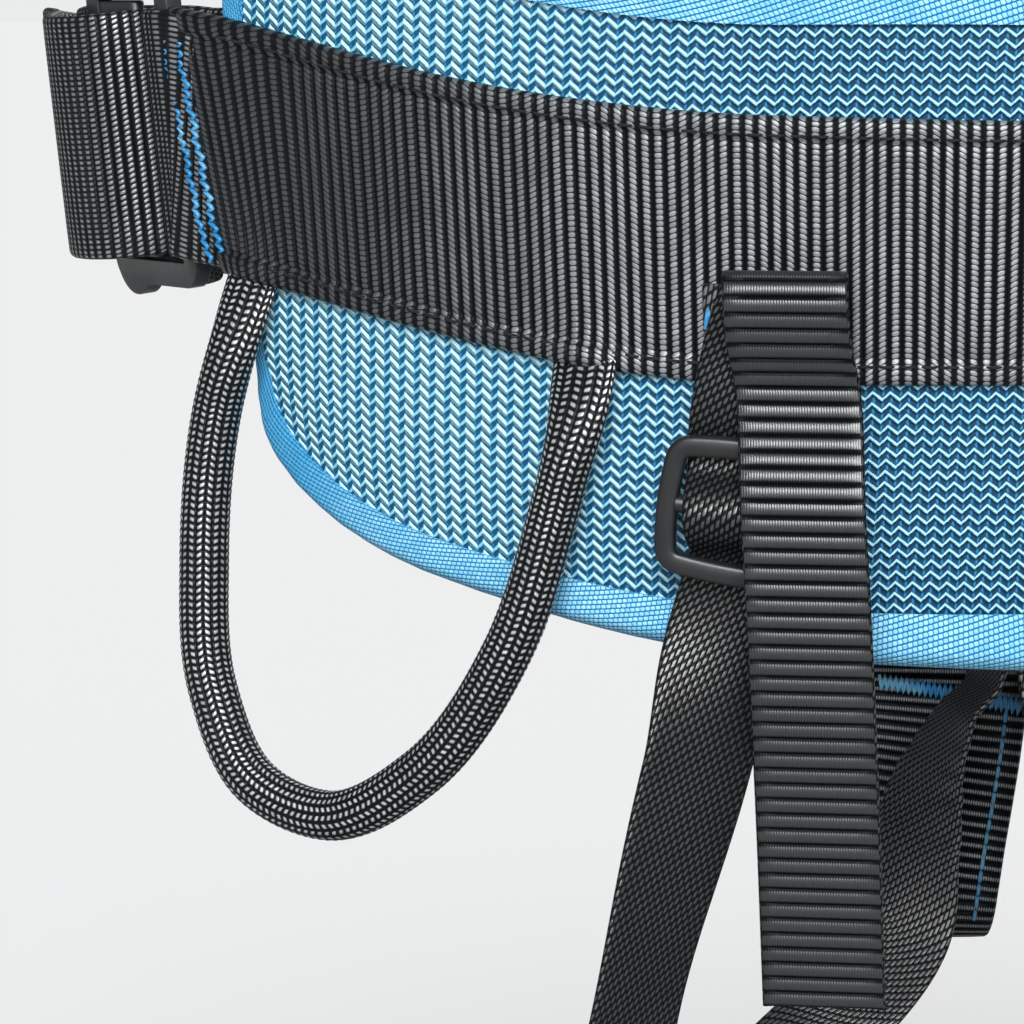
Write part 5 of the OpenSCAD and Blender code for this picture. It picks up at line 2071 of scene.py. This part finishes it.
        # The anchor wears the lighter copy of fine_weave, with painted light.
        self.add(f"{node}.webbing", [self.ANCHOR.skin(run)], "soft_weave", "belt", "riser_webbing", node)
        tack = bartack(run, 5.0, 0.0, -0.5, 19.0, 3.4, 18)
        self.add(f"{node}.stitching", [tack], "blue_thread", "belt", "riser_webbing")
        run = self.STRAP.run(self.strap_path().sided(self.side))
        node, faces = f"riser_strap_{tag}", [self.looks["fine_weave"], self.looks["riser_ribs"]]
        top = int(np.argmax(run.centre[:, 2]))
        seam = int(np.argmax(run.centre[:top, 2] > self.TAIL_FROM))
        tail = self.STRAP.skin(run.cut(seam, len(run.s)))
        fit(make_piece(f"{node}.tail", [tail], faces), "belt", "riser_webbing")
        strap = make_piece(f"{node}.webbing", [self.STRAP.skin(run.cut(0, seam + 1))], faces)
        bends = tuple(self.side.place(self.BENDS))
        fit_between(strap, ("belt", f"leg_{tag}"), bends, "riser_webbing", node)
        node = f"riser_glide_{tag}"
        self.add(f"{node}.bars", self.glide(), "glide", "belt", "glide_plastic", node)

    def glide(self) -> list[Skin]:
        """Three-bar glide: a rounded frame and a round middle bar, tilted a little in its own plane.

        Returns:
            The surfaces of the frame and of the bar.
        """
        x, y, soft = self.WINDOW + self.RAIL / 2, self.HALF - self.RAIL / 2, 2.6
        a = np.radians(np.arange(0.0, 91.0, 15.0))
        signs = np.array([[1.0, 1.0], [-1.0, 1.0], [-1.0, -1.0], [1.0, -1.0]])
        quarter = signs * np.array([x - soft, y - soft])
        around = a + np.radians(np.array([[0.0], [90.0], [180.0], [270.0]]))
        arcs = np.stack([np.cos(around), np.sin(around)], -1)
        outline = (quarter[:, None] + soft * arcs).reshape(-1, 2)
        c, s = math.cos(math.radians(self.tilt)), math.sin(math.radians(self.tilt))

        def to_site(p: Array) -> Array:
            """Points of the glide's plane, tilted, on the belt."""
            x, y = p[:, 0], p[:, 1]
            return self.site.at(x * c + y * s, self.GLIDE, self.height - x * s + y * c)

        centres = to_site(outline)
        path = Path(centres, np.broadcast_to(self.site.out, centres.shape), closed=True)
        run = path.sided(self.side).run(0.8)
        turn = np.linspace(0.0, 2.0 * math.pi, 20, endpoint=False)
        px, py = (np.sign(f(turn)) * np.abs(f(turn)) ** 0.55 for f in (np.cos, np.sin))
        points = run.sweep(px * 1.4, py * self.RAIL / 2)
        girth = np.linspace(0.0, 11.0, len(turn) + 1)
        bars = [Skin(points[None], grid(np.append(run.s, run.length), girth), looped=True)]
        ends = np.stack([np.linspace(-self.WINDOW - 0.8, self.WINDOW + 0.8, 12), np.zeros(12)], -1)
        line = self.side.place(to_site(ends))[None]
        bars.append(tubes(line, np.broadcast_to(self.side.place(self.site.out), line.shape), 1.5, 20))
        return bars


@dataclass
class Front(Part):
    """Belay loop, both tie-in loops and the hangers of the leg loops."""

    leg: Threading
    belay_y: float = -128.07
    lower_x: float = -7.0
    lower_z: float = -83.0
    lower_half: float = 35.0
    turn: float = 15.0

    BELAY = Weave(32.0, 3.6, Ribbed.BOTH, 2.15, 0.4, samples=8, bevel=0.7)
    TIE = Weave(14.0, 3.0, Ribbed.BOTH, 2.15, 0.35, samples=7, bevel=0.7)
    HANGER = Weave(20.0, 1.2, Ribbed.NONE, 1.5)
    LIMB = 9.3
    BELAY_TOP = -10.0
    BELAY_END = -150.0
    PARTING = 1.6
    TACK_Z = -98.5
    CLEAR = 5.5
    HANGER_AT = 59.0
    GAP = 0.25

    def belay_path(self) -> Path:
        """Closed line of the belay loop, whose limbs part a little more where the lower tie-in passes.

        Returns:
            The line: two half circles and two swaying limbs.
        """
        a, b = np.radians(np.linspace(0.0, 180.0, 13)), np.radians(np.linspace(180.0, 360.0, 13))
        r, top, low = self.LIMB, self.BELAY_TOP, self.BELAY_END + self.LIMB + self.BELAY.thickness / 2
        fall = np.linspace(top, low, 14)[1:-1]
        limb = r + self.PARTING * hump(fall - self.lower_z, 16.0)
        y = self.belay_y + np.concatenate([r * np.cos(a), -limb, r * np.cos(b), limb[::-1]])
        z = np.concatenate([top + r * np.sin(a), fall, low + r * np.sin(b), fall[::-1]])
        across = np.broadcast_to(np.array([1.0, 0.0, 0.0]), (len(z), 3))
        return Path(np.stack([self.sway(z), y, z], -1), across, closed=True)

    def sway(self, z: Array) -> Array:
        """Sideways hang of the belay loop at height z."""
        return -9.6 * smooth((-18.0 - z) / 70.0) * (1.0 - 0.72 * smooth((-92.0 - z) / 62.0))

    def upper_path(self) -> Path:
        """Line of the upper tie-in, which stands off the webbing where the belay loop passes behind it.

        Returns:
            The line.
        """
        inner = float(Threading(WAIST, BACK_PAD, BUCKLE_ANGLE).inner(180.0))
        flat = inner + WAIST_WEBBING.thickness / 2 + self.GAP + self.TIE.thickness / 2
        mid = float(belt_lift(180.0))
        bulge = -self.belay_y - WAIST.half_depth - WAIST.flare * mid
        clear = math.degrees(math.asin(18.0 / WAIST.half_width))
        d = np.linspace(-clear - 15.0, clear + 15.0, 37)
        share = smooth((clear + 8.0 - np.abs(d)) / 8.0)
        fall = 4.2 * smooth(WAIST.half_width * np.sin(np.radians(np.abs(d))) / 22.0)
        r = mix(flat, bulge + WAIST.flare * fall, share)
        return Path(WAIST.point(180.0 + d, belt_lift(180.0 - np.abs(d)) - fall, r), WAIST.up(180.0 + d))

    @property
    def lower_back(self) -> float:
        """Y of the lower tie-in's back run, clear of the belay loop when that turns."""
        reach = self.LIMB + self.BELAY.thickness / 2
        return self.belay_y + reach + self.BELAY.width / 2 * math.sin(math.radians(self.turn)) + self.CLEAR

    def lower_path(self) -> Path:
        """Closed line of the lower tie-in.

        Returns:
            The line: two half circles and two straight runs.
        """
        bend = (self.lower_back - self.belay_y) / 2
        a = np.radians(np.linspace(-90.0, 90.0, 9))
        half = self.lower_half - bend
        reach = np.concatenate([half + bend * np.cos(a), np.linspace(half, -half, 9)[1:-1]])
        turn = np.concatenate([np.sin(a), np.ones(7)])
        x = self.lower_x + np.concatenate([reach, -reach])
        y = (self.belay_y + self.lower_back) / 2 + bend * np.concatenate([turn, -turn])
        centres = np.stack([x, y, np.full_like(x, self.lower_z)], -1)
        return Path(centres, np.broadcast_to(UP, centres.shape), closed=True)

    def hanger_foot(self, side: Side) -> Path:
        """Sewn end of a hanger on the leg webbing.

        Args:
            side: Side of the wearer.

        Returns:
            The line.
        """
        angle = self.angle
        r = float(self.leg.inner(angle)) + 2.1
        points = LEG.point(angle, np.array([16.5, 12.5, -9.5]), r + np.array([2.5, 0.6, 0.0]))
        return Path(points, np.broadcast_to(LEG.tangent(angle), (3, 3))).placed(ON_LEG).sided(side)

    @property
    def angle(self) -> float:
        """Angle of the hangers on the leg loop, past the webbing's tail."""
        return self.leg.angle + self.HANGER_AT

    def hanger_path(self, side: Side) -> Path:
        """Line of a hanger from the lower tie-in to the leg webbing, the left one twisted on its way.

        Args:
            side: Side of the wearer.

        Returns:
            The line.
        """
        y = self.lower_back + self.TIE.thickness / 2 + self.GAP + self.HANGER.thickness / 2
        if side is Side.LEFT:
            centres = np.array([
                [-14.0, y, -76.0], [-14.4, y + 2.5, -83.0], [-14.6, y + 7, -89.0], [-13.6, y + 8, -94.5],
                [-8.4, y + 9, -100.0], [-5.0, y + 10, -106.5], [-2.6, y + 11, -112.0], [-1.2, y + 12, -117.0],
                [0.8, y + 14, -125.0], [4.0, y + 18, -143.0], [14.0, y + 22, -156.0], [30.0, y + 26, -168.0],
            ])
            across = np.array([
                [-1.0, 0.0, 0.0], [-0.8, 0.6, 0.0], [-0.25, 0.97, 0.0], [-0.2, 0.98, 0.0], [-0.24, 0.97, 0.0],
                [-0.4, 0.92, 0.0], [-0.55, 0.83, 0.0], [-0.68, 0.73, 0.0], [-0.85, 0.5, 0.0],
                [-1.0, 0.2, 0.0], [-1.0, 0.2, 0.0], [-1.0, 0.4, 0.0],
            ])
        else:
            centres = np.array([
                [-31.0, y, -77.0], [-31.0, y, -90.0], [-34.0, y + 8, -112.0], [-41.0, y + 18, -140.0],
                [-47.0, y + 27, -166.0],
            ])
            across = np.array([
                [-1.0, 0.0, 0.0], [-1.0, 0.0, 0.0], [-1.0, 0.0, 0.0], [-1.0, -0.1, 0.0], [-1.0, -0.4, 0.0],
            ])
        return Path.joined(Path(centres, unit(across)), self.hanger_foot(side))

    def build(self) -> None:
        """Makes every piece of the front."""
        run = self.BELAY.run(self.belay_path())
        skin = self.BELAY.skin(run)
        self.add("belay_loop.webbing", [skin], "belay_ribs", "belay", "webbing", "belay_loop")
        self.add("belay_loop.stitching", self.belay_seams(run), "blue_thread", "belay", "webbing")
        for name, path in (("upper_tie_in", self.upper_path()), ("lower_tie_in", self.lower_path())):
            self.add(f"{name}.webbing", [self.TIE.cloth(path)], "belay_ribs", "belt", "webbing", name)
        for side in Side:
            run, node = self.HANGER.run(self.hanger_path(side)), f"leg_hanger_{side.tag}"
            # The hanger wears the lighter copy of fine_weave, painting light where the belt shades it.
            piece = make_piece(f"{node}.webbing", [self.HANGER.skin(run)], [self.looks["soft_weave"]])
            span = (run.centre[len(run.s) // 6], run.centre[-len(run.s) // 5])
            fit_between(piece, ("belt", f"leg_{side.tag}"), span, "riser_webbing", node)

    def belay_seams(self, run: Run) -> list[Skin]:
        """Bartack on the belay loop's back limb and the row of stitches below it.

        Args:
            run: Line of the loop.

        Returns:
            The surfaces.
        """
        face = self.BELAY.thickness / 2 + 0.1
        at_back = np.where(run.centre[:, 1] > self.belay_y, 0.0, 500.0)
        start = float(run.s[np.argmin(np.abs(run.centre[:, 2] - self.TACK_Z) + at_back)])
        centres, along, _, out = run.pick(start - 4.0 - 2.7 * np.arange(16), -11.6, face)
        return [bartack(run, start, 0.12, face, 29.0, 3.4, 26), stitches(centres, along, out, 2.5, 0.4)]


@dataclass
class LegLoop(Part):
    """Padded leg loop on one side with its webbing, buckle and keeper."""

    side: Side
    loop: Threading

    TAIL = 49.0
    KEEPER = 42.0
    LAST = 226.0
    SEWN_AT = np.array([236.0, 244.0, 249.0, 258.0])

    def placed(self, skin: Skin) -> Skin:
        """The surface carried to this side's leg."""
        return replace(skin, points=self.side.place(ON_LEG.points(skin.points)))

    def build(self) -> None:
        """Makes every piece of the leg loop."""
        tag, body = self.side.tag, f"leg_{self.side.tag}"
        band = LEG_LOOP.band(np.zeros_like, lambda t, q: np.zeros_like(q))
        parts = [(part, kind, self.placed(skin)) for part, kind, skin in LEG_LOOP.parts()]
        self.add_pad(parts, f"leg_{{}}_{tag}", body)
        self.add(f"leg_band_{tag}.cloth", [self.placed(band)], "band", body, "face_fabric", f"leg_band_{tag}")
        sewn = LEG_LAYERS.hem_outer + 1.25
        last_r = np.array([mix(float(self.loop.inner(self.LAST)), sewn, 0.4), sewn, sewn, sewn])
        strap = self.loop.strap(self.loop.angle + self.TAIL, self.LAST, 14)
        paths = {
            "strap": Path.joined(strap, self.loop.ring_path(self.SEWN_AT, last_r)),
            "loop": self.loop.loop(np.linspace(110.0, 113.4, 4), np.full(4, sewn), LEG_PAD.end),
        }
        for part, path in paths.items():
            node, skin = f"leg_{part}_{tag}", LEG_WEBBING.cloth(path.placed(ON_LEG).sided(self.side))
            self.add(f"{node}.webbing", [skin], "webbing", body, "webbing", node)
        keeper = self.loop.keeper(self.loop.angle + self.KEEPER, LEG_WEBBING.width)
        self.add_buckle("leg", self.side, body, keeper.placed(ON_LEG).sided(self.side))


@dataclass
class Studio:
    """Pale floor, soft light and the photograph's camera."""

    floor_z: float
    place: tuple[float, float, float] = (140.505, 1062.555, 41.356)
    look: tuple[float, float, float] = (-0.0521368, -0.9948295, -0.0871557)
    lens: float = 208.74
    pale: float = 0.84
    sky: float = 0.14
    key: float = 3.6
    front: float = 2.0
    fill: float = 0.8

    def build(self) -> None:
        """Makes the stage."""
        self.camera()
        self.floor()
        self.world()
        self.sun("key", self.key, (0.08, 0.87, 0.48), 30.0)
        self.sun("front", self.front, (0.1, 0.985, 0.1), 45.0)
        self.sun("fill", self.fill, (-0.5, -0.7, 0.5), 60.0)
        view = bpy.context.scene.view_settings
        view.view_transform, view.look = "Standard", "None"

    def camera(self) -> None:
        """Camera at the photograph's place."""
        data = bpy.data.cameras.new("camera")
        data.lens, data.sensor_width = self.lens, 36.0
        data.clip_start, data.clip_end = 0.05, 200.0
        obj = new_object("camera", data)
        obj.location = Vector(self.place) * MM
        obj.rotation_euler = Vector(self.look).to_track_quat("-Z", "Y").to_euler()
        bpy.context.scene.camera = obj

    def floor(self) -> None:
        """Wide plain floor, with enough glow on top of its light to show as pale as the background."""
        reach = 60.0
        mesh = bpy.data.meshes.new("floor")
        corners = [(x * reach, y * reach, self.floor_z) for x, y in ((-1, -1), (1, -1), (1, 1), (-1, 1))]
        mesh.from_pydata(corners, [], [(0, 1, 2, 3)])
        material, graph, shader = new_material("floor")
        shader.inputs["Base Color"].default_value = (0.55, 0.553, 0.557, 1.0)
        shader.inputs["Roughness"].default_value = 0.9
        shader.inputs["Specular IOR Level"].default_value = 0.0
        shader.inputs["Emission Color"].default_value = (0.99, 0.995, 1.0, 1.0)
        lit = 0.55 * (self.sky + (self.key * 0.42 + self.front * 0.2 + self.fill * 0.5) / math.pi)
        graph.feed(shader.inputs["Emission Strength"], graph.seen() * (self.pale - lit))
        mesh.materials.append(material)
        new_object("floor", mesh)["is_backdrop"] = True

    def world(self) -> None:
        """Even grey surroundings, with the background as pale as the floor."""
        world = bpy.data.worlds.new("studio")
        world.use_nodes = True
        bpy.context.scene.world = world
        graph = Graph(world.node_tree)
        back = world.node_tree.nodes["Background"]
        graph.feed(back.inputs["Color"], (0.985, 0.992, 1.0, 1.0))
        graph.feed(back.inputs["Strength"], graph.seen() * (self.pale - self.sky) + self.sky)

    def sun(self, name: str, strength: float, towards: tuple[float, float, float], spread: float) -> None:
        """Soft distant light.

        Args:
            name: Name of the light.
            strength: Light on a facing surface.
            towards: Direction to the light.
            spread: Angle that it fills.
        """
        data = bpy.data.lights.new(name, "SUN")
        data.energy, data.angle = strength, math.radians(spread)
        new_object(name, data).rotation_euler = Vector(towards).to_track_quat("Z", "Y").to_euler()


def main() -> None:
    """Builds the scene in order and reports what was made."""
    logging.basicConfig(level=logging.INFO, format="%(name)s: %(message)s")
    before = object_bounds()
    looks = Wardrobe().fill()
    Studio(before[0].z - FLOOR_GAP * MM).build()
    leg = Threading(LEG, LEG_PAD, LEG_LOOP.band_end + LEG_BUCKLE_GAP / float(LEG.speed(LEG_LOOP.band_end)))
    WaistBelt(looks).build()
    for side in Side:
        WaistBuckle(looks, side).build()
        GearLoop(looks, side).build()
        Riser(looks, side).build()
        LegLoop(looks, side, leg).build()
    Front(looks, leg).build()
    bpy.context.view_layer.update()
    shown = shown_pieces()
    for piece in shown:
        log.info("%s: %d faces", piece.name, len(piece.data.polygons))
    log.info("%d pieces, %d triangles", len(shown), sum(len(o.data.loop_triangles) for o in shown))


if __name__ == "__main__":
    main()
